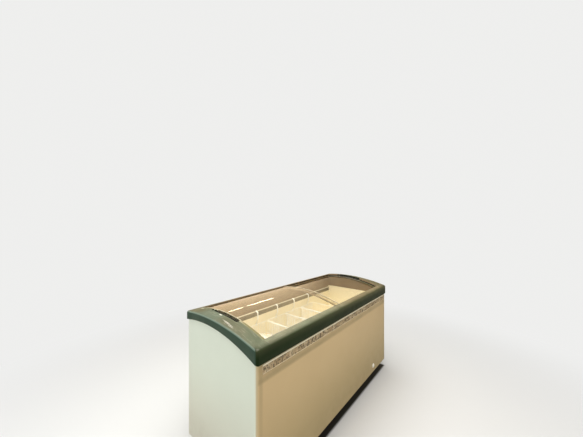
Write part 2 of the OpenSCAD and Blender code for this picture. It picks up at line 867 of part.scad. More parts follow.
front_panel();
back_panel();
left_end_panel();
right_end_panel();
base_pan();
front_wall();
back_wall();
left_end_wall();
right_end_wall();
well_floor();
step_riser();
step_top();
well_corner_coves();
front_ledge_strip();
rear_ledge_strip();
front_ledge_band();
rear_ledge_band();
front_rail();
rear_rail();
left_end_cap();
right_end_cap();
left_lid_glass();
left_lid_outer_trim();
left_lid_inner_trim();
left_lid_front_runner();
left_lid_rear_runner();
right_lid_glass();
right_lid_outer_trim();
right_lid_inner_trim();
right_lid_front_runner();
right_lid_rear_runner();
ticket_strip();
ticket_insert();
drain_plug();
grille_frame();
grille_panel();
grille_fastener();
cord_gland();
castor_forks();
castor_wheels();
basket_1();
basket_2();
basket_3();
basket_4();
basket_5();
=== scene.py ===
"""Display chest freezer with curved sliding glass lids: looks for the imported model."""
import json
import math

import bmesh
import bpy
from mathutils import Matrix, Vector


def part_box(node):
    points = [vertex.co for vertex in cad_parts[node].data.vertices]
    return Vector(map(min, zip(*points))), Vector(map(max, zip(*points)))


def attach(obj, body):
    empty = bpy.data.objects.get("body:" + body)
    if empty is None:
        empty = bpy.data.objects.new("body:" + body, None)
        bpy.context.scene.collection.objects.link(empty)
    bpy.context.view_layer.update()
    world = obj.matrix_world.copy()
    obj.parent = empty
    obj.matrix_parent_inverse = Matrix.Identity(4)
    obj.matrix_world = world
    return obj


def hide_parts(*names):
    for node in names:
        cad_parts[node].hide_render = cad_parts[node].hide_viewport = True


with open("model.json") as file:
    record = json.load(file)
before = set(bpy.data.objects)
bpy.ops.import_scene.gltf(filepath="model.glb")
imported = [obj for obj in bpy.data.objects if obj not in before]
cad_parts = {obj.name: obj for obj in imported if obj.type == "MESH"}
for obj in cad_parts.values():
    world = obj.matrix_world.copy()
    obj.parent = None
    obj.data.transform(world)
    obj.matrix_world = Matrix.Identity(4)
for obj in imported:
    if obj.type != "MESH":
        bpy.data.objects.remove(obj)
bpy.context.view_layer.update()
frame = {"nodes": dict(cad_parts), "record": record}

MM = 0.001
NODES = frame["nodes"]

# Cabinet and well, as half lengths from the middle and heights above the floor

HALF_L = 837.5 * MM
HALF_W = 325 * MM
BODY_X = 829.5 * MM
BODY_Y = 317 * MM
BODY_CORNER_R = 17 * MM
WELL_X = 749 * MM
WELL_Y = 271 * MM
GROUND = 70 * MM
LEDGE_Z = 695 * MM
END_RIM_Z = 711 * MM
SEAT = 0.3 * MM

# Arched frame, whose arcs have their middle ARCH_BACK behind the cabinet's

ARCH_BACK = 98.5 * MM
CROWN_Z = 848 * MM
CROWN_R = 1126 * MM
CROWN_CZ = CROWN_Z - CROWN_R
EDGE_DROP = 10 * MM
EDGE_R = 1590 * MM
EDGE_CZ = CROWN_Z - EDGE_DROP - EDGE_R
EDGE_ROUND = 12 * MM
SKIRT_DROP = 54 * MM
SKIRT_T = 15 * MM
UNDER_R = CROWN_R - SKIRT_DROP
TUCK = 10 * MM
CORE_R = UNDER_R + TUCK
CORNER_R = 17 * MM

# Lids and the tracks that they slide in

TRIM_T = 8 * MM
PLAY = 0.5 * MM
TRACK_ROOF = 6 * MM
TRACK_PARTING = 5 * MM
TRACK_DEPTH = 16 * MM
RUNNER_W = 15 * MM
UPPER_R = CROWN_R - TRACK_ROOF - PLAY - TRIM_T / 2
LOWER_R = UPPER_R - TRIM_T - TRACK_PARTING
TRACK_Y = WELL_Y + TRACK_DEPTH
RUNNER_OUT = TRACK_Y - PLAY
RUNNER_IN = RUNNER_OUT - RUNNER_W
TRIM_REACH = RUNNER_IN - SEAT
LID_X = 744 * MM
LID_MID = 20 * MM
OUTER_TRIM = 16 * MM
INNER_TRIM = 10 * MM
TRIM_ROUND = 1.8 * MM
RUNNER_ROUND = 1.2 * MM

# Finger notch and lock pocket in each end cap, and the grip in the lid beside them

NOTCH_Y = 18 * MM
NOTCH_L = 218 * MM
NOTCH_W = 19 * MM
NOTCH_R = 7 * MM
NOTCH_DEPTH = 20 * MM
POCKET_L = 16 * MM
POCKET_GAP = 12 * MM
POCKET_Y = NOTCH_Y + NOTCH_L / 2 + POCKET_GAP + POCKET_L / 2
SLOTS = ((NOTCH_Y, NOTCH_L), (POCKET_Y, POCKET_L))
GRIP_FRONT = NOTCH_Y - NOTCH_L / 2 + 16 * MM
GRIP_BACK = NOTCH_Y + NOTCH_L / 2 - 2 * MM
GRIP_FADE = 10 * MM
GRIP_W = 10 * MM
GRIP_DEPTH = 4.2 * MM


def arch_z(radius, y, centre_z=CROWN_CZ):
    """Height of an arc at a depth."""
    return centre_z + math.sqrt(radius * radius - (y - ARCH_BACK) ** 2)


def crown_at(y):
    return arch_z(CROWN_R, y)


def edge_at(y):
    return arch_z(EDGE_R, y, EDGE_CZ)


def on_arch(x, radius, angle):
    """A point on an arc about the crown's centre."""
    return (x, ARCH_BACK + radius * math.sin(angle), CROWN_CZ + radius * math.cos(angle))


# Camera

SHOT_PX = 583
FOCAL_PX = 237.5
HORIZON_PX = 231.27
MIDDLE_PX = 218.5
EYE = (-1.54, -1.118, 1.311)
EYE_TURN = -49.91
SENSOR_W = 36


def add_object(name, data):
    obj = bpy.data.objects.new(name, data)
    bpy.context.scene.collection.objects.link(obj)
    return obj


def make_camera():
    data = bpy.data.cameras.new("shot")
    cam = add_object("shot", data)
    cam.location = EYE
    cam.rotation_euler = (math.radians(90), 0, math.radians(EYE_TURN))
    data.sensor_fit = "HORIZONTAL"
    data.sensor_width = SENSOR_W
    data.lens = SENSOR_W * FOCAL_PX / SHOT_PX
    data.shift_y = (HORIZON_PX - MIDDLE_PX) / SHOT_PX
    data.clip_start = 0.05
    data.clip_end = 200
    bpy.context.scene.camera = cam


# Node trees

class Tree:
    """The node tree of a material or of the world, with short calls for the nodes used here."""

    def __init__(self, owner, output, space):
        owner.use_nodes = True
        self.nodes = owner.node_tree.nodes
        self.links = owner.node_tree.links
        self.nodes.clear()
        self.out = self.nodes.new(output).inputs["Surface"]
        self.place = self.nodes.new("ShaderNodeTexCoord").outputs[space]

    def put(self, socket, value):
        """Links an output to a socket, or sets the socket to a number, a vector or a colour."""
        if isinstance(value, bpy.types.NodeSocket):
            self.links.new(value, socket)
        elif value is not None:
            socket.default_value = (*value, 1) if socket.type == "RGBA" else value

    def node(self, kind, **inputs):
        """A new node; an underscore in an input's name stands for a space."""
        n = self.nodes.new(kind)
        for key, value in inputs.items():
            self.put(n.inputs[key.replace("_", " ")], value)
        return n

    def fill(self, n, *values):
        for socket, value in zip(n.inputs, values):
            self.put(socket, value)
        return n.outputs[0]

    def axes(self, vector=None):
        return self.node("ShaderNodeSeparateXYZ", Vector=vector or self.place).outputs

    def facing(self):
        """The three parts of the direction that the surface faces."""
        return self.axes(self.nodes.new("ShaderNodeNewGeometry").outputs["Normal"])

    def stretch(self, *scale):
        return self.node("ShaderNodeMapping", Vector=self.place, Scale=scale).outputs["Vector"]

    def noise(self, scale, detail=4, rough=0.55, place=None, distortion=0):
        return self.node("ShaderNodeTexNoise", Vector=place or self.place, Scale=scale, Detail=detail,
                         Roughness=rough, Distortion=distortion).outputs["Fac"]

    def voronoi(self, scale, feature="F1", place=None):
        n = self.node("ShaderNodeTexVoronoi", Vector=place or self.place, Scale=scale)
        n.feature = feature
        return n.outputs["Distance"]

    def cell(self, value):
        """A steady random number for each whole step of a value."""
        n = self.nodes.new("ShaderNodeTexWhiteNoise")
        n.noise_dimensions = "1D"
        self.put(n.inputs["W"], self.math("FLOOR", value))
        return n.outputs["Value"]

    def span(self, value, a, b, c=0, d=1, smooth=True):
        """A value between a and b turned into one between c and d."""
        n = self.node("ShaderNodeMapRange", Value=value, From_Min=a, From_Max=b, To_Min=c, To_Max=d)
        n.interpolation_type = "SMOOTHSTEP" if smooth else "LINEAR"
        return n.outputs["Result"]

    def math(self, op, *values):
        n = self.nodes.new("ShaderNodeMath")
        n.operation = op
        return self.fill(n, *values)

    def times(self, value, *others):
        for other in others:
            value = self.math("MULTIPLY", value, other)
        return value

    def rest(self, value):
        return self.math("SUBTRACT", 1, value)

    def positive(self, value):
        return self.math("ABSOLUTE", value)

    def within(self, half_x, half_y, start, end):
        """1 inside a rectangle about the middle, 0 outside it, and a blend along its edge."""
        x, y, _ = self.axes()
        return self.times(*[self.span(self.positive(value), half + start, half + end)
                            for value, half in ((x, half_x), (y, half_y))])

    def length(self, a, b):
        return self.math("SQRT", self.math("ADD", self.times(a, a), self.times(b, b)))

    def mix(self, fac, a, b):
        n = self.nodes.new("ShaderNodeMix")
        n.data_type = "RGBA"
        for index, value in ((0, fac), (6, a), (7, b)):
            self.put(n.inputs[index], value)
        return n.outputs[2]

    def patches(self, cloudy, a, b):
        """Two colours that blend into each other along a noise."""
        return self.mix(self.span(cloudy, 0.3, 0.7), a, b)

    def bump(self, height, strength, distance, below=None):
        return self.node("ShaderNodeBump", Height=height, Strength=strength, Distance=distance,
                         Normal=below).outputs["Normal"]

    def plastic_gloss(self, low, high):
        return self.span(self.noise(35, 3), 0.3, 0.7, low, high)

    def shader(self, color, rough, normal=None, **sockets):
        return self.node("ShaderNodeBsdfPrincipled", Base_Color=color, Roughness=rough, Normal=normal,
                         **sockets).outputs[0]

    def join(self, fac, a, b):
        return self.fill(self.nodes.new("ShaderNodeMixShader"), fac, a, b)

    def surface(self, *values, **sockets):
        self.put(self.out, self.shader(*values, **sockets))


MATERIALS = {}


def new_material(name):
    """The node tree of a new material, which is kept under its name."""
    MATERIALS[name] = bpy.data.materials.new(name)
    return Tree(MATERIALS[name], "ShaderNodeOutputMaterial", "Object")


# Painted sheet

FOLD_INNER = (786 * MM, 801 * MM)
FOLD_OUTER = (817 * MM, 811 * MM)
STRIP_SHADOW_FOOT = (606 * MM, 625 * MM)
STRIP_SHADOW_TOP = (632 * MM, 648 * MM)
FOLD_PAINTED_SHADE = (0.34, 0.27, 0.15)
STRIP_SHADOW = (0.33, 0.265, 0.145)
BEND_PAINTED_LIGHT = (0.56, 0.47, 0.3)
FLOOR_DUST = (0.3, 0.26, 0.2)
SCUFF = (0.22, 0.2, 0.17)


def front_marks(t, color, side):
    """Painted shade along the fold near each end, a painted shadow under the ticket strip, painted light on
    the corners' bend, and the ends' colour round the corners.
    """
    x, _, z = t.axes()
    along = t.positive(x)
    # Painted shade along the fold near each end, stronger higher up.
    fold = t.times(t.span(along, *FOLD_INNER), t.span(along, *FOLD_OUTER),
                   t.span(z, 0.4, 0.62, 0.28, 0.44))
    color = t.mix(fold, color, FOLD_PAINTED_SHADE)
    # Painted shadow of the ticket strip on the sheet below it.
    strip_shadow = t.times(t.span(z, *STRIP_SHADOW_FOOT), t.span(z, *STRIP_SHADOW_TOP, 1, 0.6),
                    t.span(t.noise(8, 4, 0.6), 0.2, 0.7, 0.6, 1), 0.72)
    color = t.mix(strip_shadow, color, STRIP_SHADOW)
    # Painted light on the corners' bend: a paler, cooler tone that grades the front's painted warm shade into
    # the ends' colour.
    bend = t.positive(t.facing()[0])
    color = t.mix(t.span(bend, 0.1, 0.7), color, BEND_PAINTED_LIGHT)
    return t.mix(t.span(bend, 0.78, 0.97), color, side)


def sheet_paint(name, base, shade, low_shade, side=None):
    """Powder-coated sheet: orange peel, faint unevenness, painted shade and dust low down, and a few scuffs.
    """
    t = new_material(name)
    z = t.axes()["Z"]
    color = t.mix(t.span(t.noise(2.2, 3), 0.35, 0.7), base, shade)
    # Painted shade: darker towards the floor.
    color = t.mix(t.span(z, 0.62, 0.1), color, low_shade)
    if side:
        color = front_marks(t, color, side)
    cloudy = t.noise(14, 5, 0.6)
    low = t.times(t.span(z, 0.3, 0.07), t.span(cloudy, 0.3, 0.7, 0.4, 1))
    color = t.mix(t.times(low, 0.2), color, FLOOR_DUST)
    drag = t.noise(26, 6, 0.7, t.stretch(0.6, 0.6, 6))
    scuff = t.times(t.span(drag, 0.64, 0.72), t.span(t.noise(3.3, 2), 0.45, 0.65), 0.1)
    color = t.mix(scuff, color, SCUFF)
    rough = t.math("ADD", t.span(cloudy, 0.2, 0.8, 0.3, 0.4), t.times(low, 0.15))
    wave = t.bump(t.noise(9, 2, 0.4), 0.06, 0.004)
    t.surface(color, rough, t.bump(t.noise(420, 2, 0.5), 0.05, 0.0004, wave))


# Frame plastic

EDGE_PAINTED_HIGHLIGHT = (0.165, 0.225, 0.19)
FRONT_UPPER_TONE = (0.15, 0.15, 0.085)
GREY_DUST = (0.3, 0.325, 0.225)
WARM_DUST = (0.345, 0.325, 0.225)
BROWN_DUST = (0.34, 0.262, 0.152)
MOTTLE = (0.12, 0.14, 0.085)
RUB = (0.52, 0.51, 0.4)
SCRATCH = (0.66, 0.64, 0.52)
SPOT_HIGHLIGHT = (0.74, 0.7, 0.62)

# Painted highlights on the caps: middle in X and Y, half lengths in X and Y, strength
HIGHLIGHT_SPOTS = (
    (-0.7775, 0.042, 0.0045, 0.014, 0.9),
    (-0.803, -0.05, 0.002, 0.04, 0.75),
    (-0.809, -0.078, 0.002, 0.048, 0.7),
    (-0.816, -0.1, 0.0022, 0.034, 0.6),
    (-0.824, -0.3165, 0.012, 0.006, 0.08),
    (-0.772, 0.245, 0.006, 0.022, 0.32),
    (0.796, 0.09, 0.0025, 0.045, 0.6),
    (0.812, -0.14, 0.003, 0.026, 0.55),
)


def frame_base(t, cloudy):
    """Nearly black green, lighter and bluer on the ends as painted light, with a painted highlight along the
    ends' top edge and a lighter brownish band along the upper front side.
    """
    x, y, z = t.axes()
    nx, ny, nz = t.facing()
    endwise = t.math("DIVIDE", t.positive(nx), t.math("MAXIMUM", t.length(nx, ny), 0.05))
    # Painted light: faces towards the ends lighter and bluer than the shaded front and back.
    end = t.span(endwise, 0.8, 0.96)
    dark = t.patches(cloudy, (0.005, 0.0165, 0.004), (0.009, 0.0245, 0.007))
    green = t.patches(cloudy, (0.027, 0.055, 0.042), (0.039, 0.071, 0.054))
    color = t.mix(end, dark, green)
    # Painted highlight along the rounded top edge of the ends.
    color = t.mix(t.times(t.span(nz, 0.18, 0.5), t.span(nz, 0.95, 0.75), end, 0.7), color, EDGE_PAINTED_HIGHLIGHT)
    # A lighter brownish band along the upper part of the front side, stronger to the right.
    upper_band = t.times(t.span(z, 0.736, 0.776), t.rest(end), t.span(nz, 0.85, 0.55), t.span(y, -0.1, -0.22),
                     t.span(x, -0.7, 0.3, 0.18, 0.46))
    return t.mix(upper_band, color, FRONT_UPPER_TONE)


def frame_dust(t, color, up, on_cap):
    """Dust on what faces up, thinner on the caps and browner to the right, with dark mottling."""
    x, y, _ = t.axes()
    patch = t.noise(9, 6, 0.62, t.stretch(1, 0.7, 1), 0.6)
    dust = t.times(up, t.span(patch, 0.3, 0.7, 0.66, 1))
    tint = t.mix(t.span(t.noise(5, 4, 0.6), 0.38, 0.62), GREY_DUST, WARM_DUST)
    tint = t.mix(t.span(x, -0.5, 0.3), tint, BROWN_DUST)
    rail = t.times(t.rest(on_cap), 0.64)
    cap = t.times(on_cap, t.span(y, -0.2, 0.2, 0.45, 0.19, False))
    color = t.mix(t.times(dust, t.math("ADD", rail, cap)), color, tint)
    mottle = t.noise(46, 5, 0.6, t.stretch(1, 0.5, 1))
    return t.mix(t.times(t.span(mottle, 0.5, 0.68), up, 0.2), color, MOTTLE)


def frame_rubs(t, color, up, on_cap):
    """Faint drags along the rails and along the caps, and fine scratches."""
    drags = [t.span(t.noise(34, 5, 0.6, t.stretch(*scale)), 0.56, 0.7)
             for scale in ((0.42, 5, 1), (5, 0.42, 1))]
    rub = t.span(on_cap, 0, 1, *drags, False)
    color = t.mix(t.times(rub, up, 0.26), color, RUB)
    fine = t.voronoi(70, "DISTANCE_TO_EDGE", t.stretch(1, 0.06, 1))
    scratch = t.times(t.span(fine, 0.014, 0), t.span(t.noise(6, 2), 0.5, 0.62), up, 0.45)
    return t.mix(scratch, color, SCRATCH)


def highlight_spots(t, color, nz):
    """Pale painted highlights with ragged edges."""
    x, y, _ = t.axes()
    for mid_x, mid_y, half_x, half_y, pale in HIGHLIGHT_SPOTS:
        away = [t.math("DIVIDE", t.math("SUBTRACT", place, mid), half)
                for place, mid, half in ((x, mid_x, half_x), (y, mid_y, half_y))]
        ragged = t.math("ADD", t.length(*away), t.span(t.noise(150, 3, 0.6), 0.3, 0.7, -0.25, 0.25, False))
        color = t.mix(t.times(t.span(ragged, 1, 0.55), t.span(nz, 0.3, 0.6), pale), color, SPOT_HIGHLIGHT)
    return color


def frame_plastic():
    """Fine-grained dark green moulding, dull with handling on top, and brown on its inner walls."""
    t = new_material("frame_plastic")
    x, y, _ = t.axes()
    nz = t.facing()[2]
    cloudy = t.noise(7, 5, 0.6)
    up = t.times(t.span(nz, 0.55, 0.92), t.span(y, -0.323, -0.287, 0.4, 1))
    on_cap = t.span(t.positive(x), WELL_X - 2 * MM, WELL_X + 2 * MM)
    color = frame_dust(t, frame_base(t, cloudy), up, on_cap)
    # Rubs and scratches, then pale painted highlights on the caps.
    color = highlight_spots(t, frame_rubs(t, color, up, on_cap), nz)
    inside = t.within(WELL_X, WELL_Y, 1.2 * MM, 0.4 * MM)
    color = t.mix(inside, color, t.patches(cloudy, (0.19, 0.135, 0.08), (0.24, 0.17, 0.1)))
    rough = t.span(t.noise(18, 4), 0.3, 0.7, 0.28, 0.4)
    grit = t.bump(t.noise(1300, 2), 0.1, 0.0001)
    t.surface(color, rough, t.bump(t.voronoi(650), 0.22, 0.0003, grit), Specular_IOR_Level=0.12)


# Lid trims and glass

TRIM_SIDE_SHADE = (0.008, 0.011, 0.005)
TRIM_SHADE = (0.185, 0.17, 0.075)
TRIM_EDGE_HIGHLIGHT = (0.56, 0.53, 0.38)
GRIP_SHADE = (0.01, 0.013, 0.006)


def trim_plastic():
    """Olive edge profile of a lid, near black as painted shade where it faces outwards, with a painted
    highlight along its outer edge.
    """
    t = new_material("lid_trim")
    x, y, _ = t.axes()
    nx, _, nz = t.facing()
    cloudy = t.noise(20, 5, 0.6)
    top = t.patches(cloudy, (0.31, 0.265, 0.165), (0.36, 0.31, 0.2))
    top = t.mix(t.span(y, -0.06, -0.13), top, TRIM_SHADE)
    out = t.positive(x)
    grip = t.times(t.span(y, GRIP_BACK + 4 * MM, GRIP_BACK - 2 * MM),
                   t.span(y, GRIP_FRONT - 4 * MM, GRIP_FRONT + 2 * MM))
    # Painted highlights on the outer edge and on the ridge beside the grip.
    rim_highlight = t.times(t.span(out, LID_X - 4 * MM, LID_X - 2.5 * MM), t.rest(grip),
                  t.span(y, -0.16, -0.08, 0.25, 1), t.span(x, 0.1, -0.1))
    grip_x = LID_X - GRIP_W
    ridge_highlight = t.times(t.span(out, grip_x, grip_x - 0.6 * MM), grip,
                    t.span(out, grip_x - 5 * MM, grip_x - 3 * MM))
    top = t.mix(t.math("MAXIMUM", rim_highlight, ridge_highlight), top, TRIM_EDGE_HIGHLIGHT)
    # Painted shade: the grip's sunk floor near black.
    sunk = t.times(t.span(out, grip_x - 0.4 * MM, grip_x + 0.6 * MM), grip)
    brown = t.patches(cloudy, (0.2, 0.135, 0.08), (0.25, 0.175, 0.1))
    # Painted shade: faces that turn outwards near black.
    color = t.mix(t.span(t.positive(nx), 0.35, 0.6), brown, TRIM_SIDE_SHADE)
    color = t.mix(t.span(nz, 0.62, 0.88), color, top)
    color = t.mix(sunk, color, GRIP_SHADE)
    grain = t.bump(t.noise(600, 3), 0.08, 0.0002)
    t.surface(color, t.plastic_gloss(0.28, 0.4), grain, Specular_IOR_Level=0.3)


def joint_plastic():
    """Gloss profile where the lids meet, pale on top of the upper lid's, and brown as painted shade
    elsewhere.
    """
    t = new_material("lid_joint_trim")
    cloudy = t.noise(20, 5, 0.6)
    pale = t.patches(cloudy, (0.54, 0.46, 0.31), (0.6, 0.52, 0.37))
    # Painted shade: brown on the lower lid's trim and on faces that do not face up.
    brown = t.patches(cloudy, (0.2, 0.155, 0.095), (0.25, 0.195, 0.12))
    upper = t.times(t.span(t.axes()["X"], 0.004, 0.006), t.span(t.facing()[2], 0.62, 0.88))
    rough = t.span(cloudy, 0.3, 0.7, 0.2, 0.3)
    t.surface(t.mix(upper, brown, pale), rough, t.bump(t.noise(600, 3), 0.06, 0.0002))


def lid_glass():
    """Clear bent glass; lamps pass straight through it, and wiping leaves a faint film."""
    t = new_material("lid_glass")
    smear = t.noise(11, 5, 0.65, t.stretch(1, 3, 3))
    tone = t.mix(t.span(smear, 0.35, 0.75), (1, 0.99, 0.965), (0.985, 0.97, 0.935))
    glass = t.shader(tone, 0, Transmission_Weight=1, IOR=1.5)
    clear = t.node("ShaderNodeBsdfTransparent", Color=(0.99, 0.985, 0.96)).outputs[0]
    path = t.nodes.new("ShaderNodeLightPath").outputs
    passes = t.math("MAXIMUM", path["Is Shadow Ray"], path["Is Diffuse Ray"])
    t.put(t.out, t.join(passes, glass, clear))


# Lining, ticket strip and plain finishes

def liner_paint():
    """Smooth cream inner lining with a faint hammered finish and a little frost haze."""
    t = new_material("liner")
    haze = t.noise(6, 4, 0.6)
    color = t.patches(haze, (0.97, 0.87, 0.62), (0.98, 0.895, 0.67))
    frost = t.times(t.span(t.noise(70, 6, 0.7), 0.5, 0.75), t.span(t.axes()["Z"], 0.45, 0.62), 0.3)
    color = t.mix(frost, color, (0.96, 0.92, 0.78))
    wave = t.bump(t.noise(8, 2), 0.05, 0.003)
    t.surface(color, t.span(haze, 0.2, 0.8, 0.32, 0.45), t.bump(t.voronoi(130), 0.12, 0.0006, wave))


STRIP_HIGHLIGHT_SPLIT = (672 * MM, 682 * MM)
CARD_PITCH = 50.5 * MM
CARD_BROWN = (0.36, 0.265, 0.155)
CARD_TAN = (0.46, 0.36, 0.22)
CARD_PALE = (0.64, 0.54, 0.38)
CARD_SPECK = (0.045, 0.037, 0.02)
CARD_FADED = (0.68, 0.55, 0.38)


def strip_plastic():
    """Cream ticket strip, yellower and duller along its lower edge, with its upper part painted paler as a
    painted highlight.
    """
    t = new_material("ticket_strip")
    cloudy = t.noise(20, 5, 0.6)
    low = t.patches(cloudy, (0.6, 0.51, 0.35), (0.66, 0.57, 0.41))
    high = t.patches(cloudy, (0.84, 0.8, 0.64), (0.88, 0.84, 0.7))
    # Painted highlight: the part above the split paler.
    color = t.mix(t.span(t.axes()["Z"], *STRIP_HIGHLIGHT_SPLIT), low, high)
    t.surface(color, t.plastic_gloss(0.2, 0.3), t.bump(t.noise(700, 3), 0.06, 0.0003))


def blank_cards():
    """Brown and tan cards, a little faded, with dark specks that form no sign."""
    t = new_material("ticket_insert")
    card = t.cell(t.math("DIVIDE", t.axes()["X"], CARD_PITCH / 2))
    color = t.mix(card, CARD_TAN, CARD_BROWN)
    pale = t.span(t.math("FRACT", t.times(card, 7.3)), 0.7, 0.74)
    color = t.mix(t.times(pale, 0.55), color, CARD_PALE)
    specks = t.noise(105, 3, 0.75, t.stretch(1, 1, 0.65), 0.2)
    color = t.mix(t.span(specks, 0.495, 0.56, 0, 0.9), color, CARD_SPECK)
    color = t.mix(t.span(t.noise(90, 3, 0.6), 0.56, 0.7, 0, 0.6), color, CARD_FADED)
    t.surface(color, 0.42, t.bump(t.noise(160, 3), 0.1, 0.0003))


def plain_plastic(name, a, b, rough=(0.3, 0.42), grain=700, depth=0.06, **sockets):
    t = new_material(name)
    color = t.patches(t.noise(20, 5, 0.6), a, b)
    t.surface(color, t.plastic_gloss(*rough), t.bump(t.noise(grain, 3), depth, 0.0003), **sockets)


def metal(name, a, b, rough=(0.3, 0.5), spangle=60):
    t = new_material(name)
    color = t.mix(t.span(t.voronoi(spangle), 0.1, 0.7), a, b)
    gloss = t.span(t.noise(25, 4), 0.3, 0.7, *rough)
    t.surface(color, gloss, t.bump(t.noise(300, 3), 0.05, 0.0003), Metallic=1)


def make_materials():
    # Both sheets are one white paint: the front's beige is painted warm shade, the ends' green tint is
    # painted cool light, and side gives the front sheet's corners the ends' colour.
    sheet_paint("front_sheet", (0.632, 0.487, 0.281), (0.596, 0.456, 0.26), (0.43, 0.345, 0.185),
                side=(0.655, 0.72, 0.655))
    sheet_paint("white_sheet", (0.655, 0.735, 0.68), (0.63, 0.71, 0.655), (0.58, 0.6, 0.54))
    metal("galvanised_steel", (0.42, 0.43, 0.44), (0.55, 0.56, 0.57))
    metal("zinc_steel", (0.45, 0.45, 0.46), (0.6, 0.6, 0.6))
    liner_paint()
    frame_plastic()
    lid_glass()
    trim_plastic()
    joint_plastic()
    strip_plastic()
    blank_cards()
    plain_plastic("ledge_strip", (0.8, 0.76, 0.6), (0.84, 0.8, 0.66))
    # Near-black band below the ledge strip: painted shade under the ledge.
    plain_plastic("dark_band", (0.085, 0.074, 0.034), (0.12, 0.104, 0.052))
    # Near-black recess material: painted shade in the notches, lock pockets and grips.
    plain_plastic("frame_recess", (0.007, 0.01, 0.004), (0.011, 0.015, 0.006), (0.75, 0.85),
                  Specular_IOR_Level=0.06)
    plain_plastic("white_plastic", (0.86, 0.86, 0.8), (0.9, 0.9, 0.85))
    plain_plastic("grille_plastic", (0.78, 0.75, 0.6), (0.82, 0.79, 0.65))
    plain_plastic("black_plastic", (0.012, 0.012, 0.012), (0.02, 0.02, 0.02))
    plain_plastic("castor_tyre", (0.018, 0.018, 0.018), (0.03, 0.03, 0.03), (0.6, 0.8), 200, 0.2)
    plain_plastic("basket_wire", (0.95, 0.94, 0.86), (0.96, 0.95, 0.9), (0.25, 0.35))


def dress_nodes():
    slots = {s["node"]: s["material_slot"] for s in frame["record"]["subparts"]}
    for name, obj in NODES.items():
        obj.data.materials.clear()
        obj.data.materials.append(MATERIALS[slots[name]])


# Mesh helpers

SMOOTH_ANGLE = 40


def turn_outwards(bm):
    bmesh.ops.recalc_face_normals(bm, faces=bm.faces)


def smooth_below(bm, angle):
    """Smooth faces that break only where two of them meet at more than an angle."""
    bm.normal_update()
    for f in bm.faces:
        f.smooth = True
    for e in bm.edges:
        if len(e.link_faces) == 2:
            e.smooth = e.calc_face_angle(0) < math.radians(angle)


def mesh_object(name, bm):
    """An object made from a mesh in work, which it uses up."""
    mesh = bpy.data.meshes.new(name)
    bm.normal_update()
    bm.to_mesh(mesh)
    bm.free()
    return add_object(name, mesh)


def add_piece(name, bm, slot, stands_for=(), angle=SMOOTH_ANGLE, body="cabinet"):
    """A finished mesh as a piece of the object, smooth up to an angle where there is one."""
    if angle:
        turn_outwards(bm)
        smooth_below(bm, angle)
    obj = mesh_object(name, bm)
    obj.data.materials.append(MATERIALS[slot])
    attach(obj, body)
    if stands_for:
        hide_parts(*stands_for)
    return obj


def skin(bm, loops):
    """Faces between rows of points, each row a ring, with both ends closed."""
    rows = [[bm.verts.new(p) for p in loop] for loop in loops]
    count = len(rows[0])
    for a, b in zip(rows, rows[1:]):
        for i in range(count):
            j = (i + 1) % count
            bm.faces.new((a[i], a[j], b[j], b[i]))
    bm.faces.new(list(reversed(rows[0])))
    bm.faces.new(rows[-1])


def inset_ring(points, amount):
    """A flat ring of 2-D points moved inwards, whichever way round it runs."""
    area = sum(a[0] * b[1] - b[0] * a[1] for a, b in zip(points, points[1:] + points[:1])) / 2
    turn = 1 if area > 0 else -1
    ring = []
    for i, p in enumerate(points):
        a, b = points[i - 1], points[(i + 1) % len(points)]
        u = Vector((p[0] - a[0], p[1] - a[1])).normalized()
        v = Vector((b[0] - p[0], b[1] - p[1])).normalized()
        n = Vector((-(u.y + v.y), u.x + v.x))
        if n.length < 1e-9:
            n = Vector((-u.y, u.x))
        n.normalize()
        grow = min(2, 1 / max(0.3, n.dot(Vector((-u.y, u.x)))))
        ring.append((p[0] + turn * n.x * amount * grow, p[1] + turn * n.y * amount * grow))
    return ring


def round_corner(a, corner, b, radius, steps=4):
    """Points that turn from the line a-corner to corner-b on an arc."""
    a, corner, b = Vector(a), Vector(corner), Vector(b)
    u = (a - corner).normalized()
    v = (b - corner).normalized()
    half = u.angle(v) / 2
    reach = radius / math.tan(half)
    centre = corner + (u + v).normalized() * (radius / math.sin(half))
    p, q = corner + u * reach - centre, corner + v * reach - centre
    turn = p.angle(q)
    axis = p.cross(q).normalized()
    return [centre + Matrix.Rotation(turn * i / steps, 3, axis) @ p for i in range(steps + 1)]


def fillet(radius, *points):
    """2-D points that round each corner between the first point and the last."""
    ring = []
    for a, corner, b in zip(points, points[1:], points[2:]):
        ring += [(p.x, p.y) for p in round_corner((*a, 0), (*corner, 0), (*b, 0), radius)]
    return ring


def rounded_box(x0, x1, thick, radius):
    """A flat box on both sides of a line from x0 to x1, with round corners, as 2-D points."""
    box = [(x0, -thick / 2), (x1, -thick / 2), (x1, thick / 2), (x0, thick / 2)]
    return fillet(radius, box[-1], *box, box[0])


def bent_path(points, radius, closed=False, steps=4):
    """A path through points with its corners rounded."""
    count = len(points)
    path = []
    for i, p in enumerate(points):
        if not closed and i in (0, count - 1):
            path.append(Vector(p))
        else:
            path += round_corner(points[i - 1], p, points[(i + 1) % count], radius, steps)
    return path


def extrude_x(bm, ring, x0, x1, edge):
    """A Y-Z ring drawn out along X, with its end edges broken by a small chamfer."""
    small = inset_ring(ring, edge)
    rows = [(x0, small), (x0 + edge, ring), (x1 - edge, ring), (x1, small)]
    skin(bm, [[(x, p[0], p[1]) for p in r] for x, r in rows])


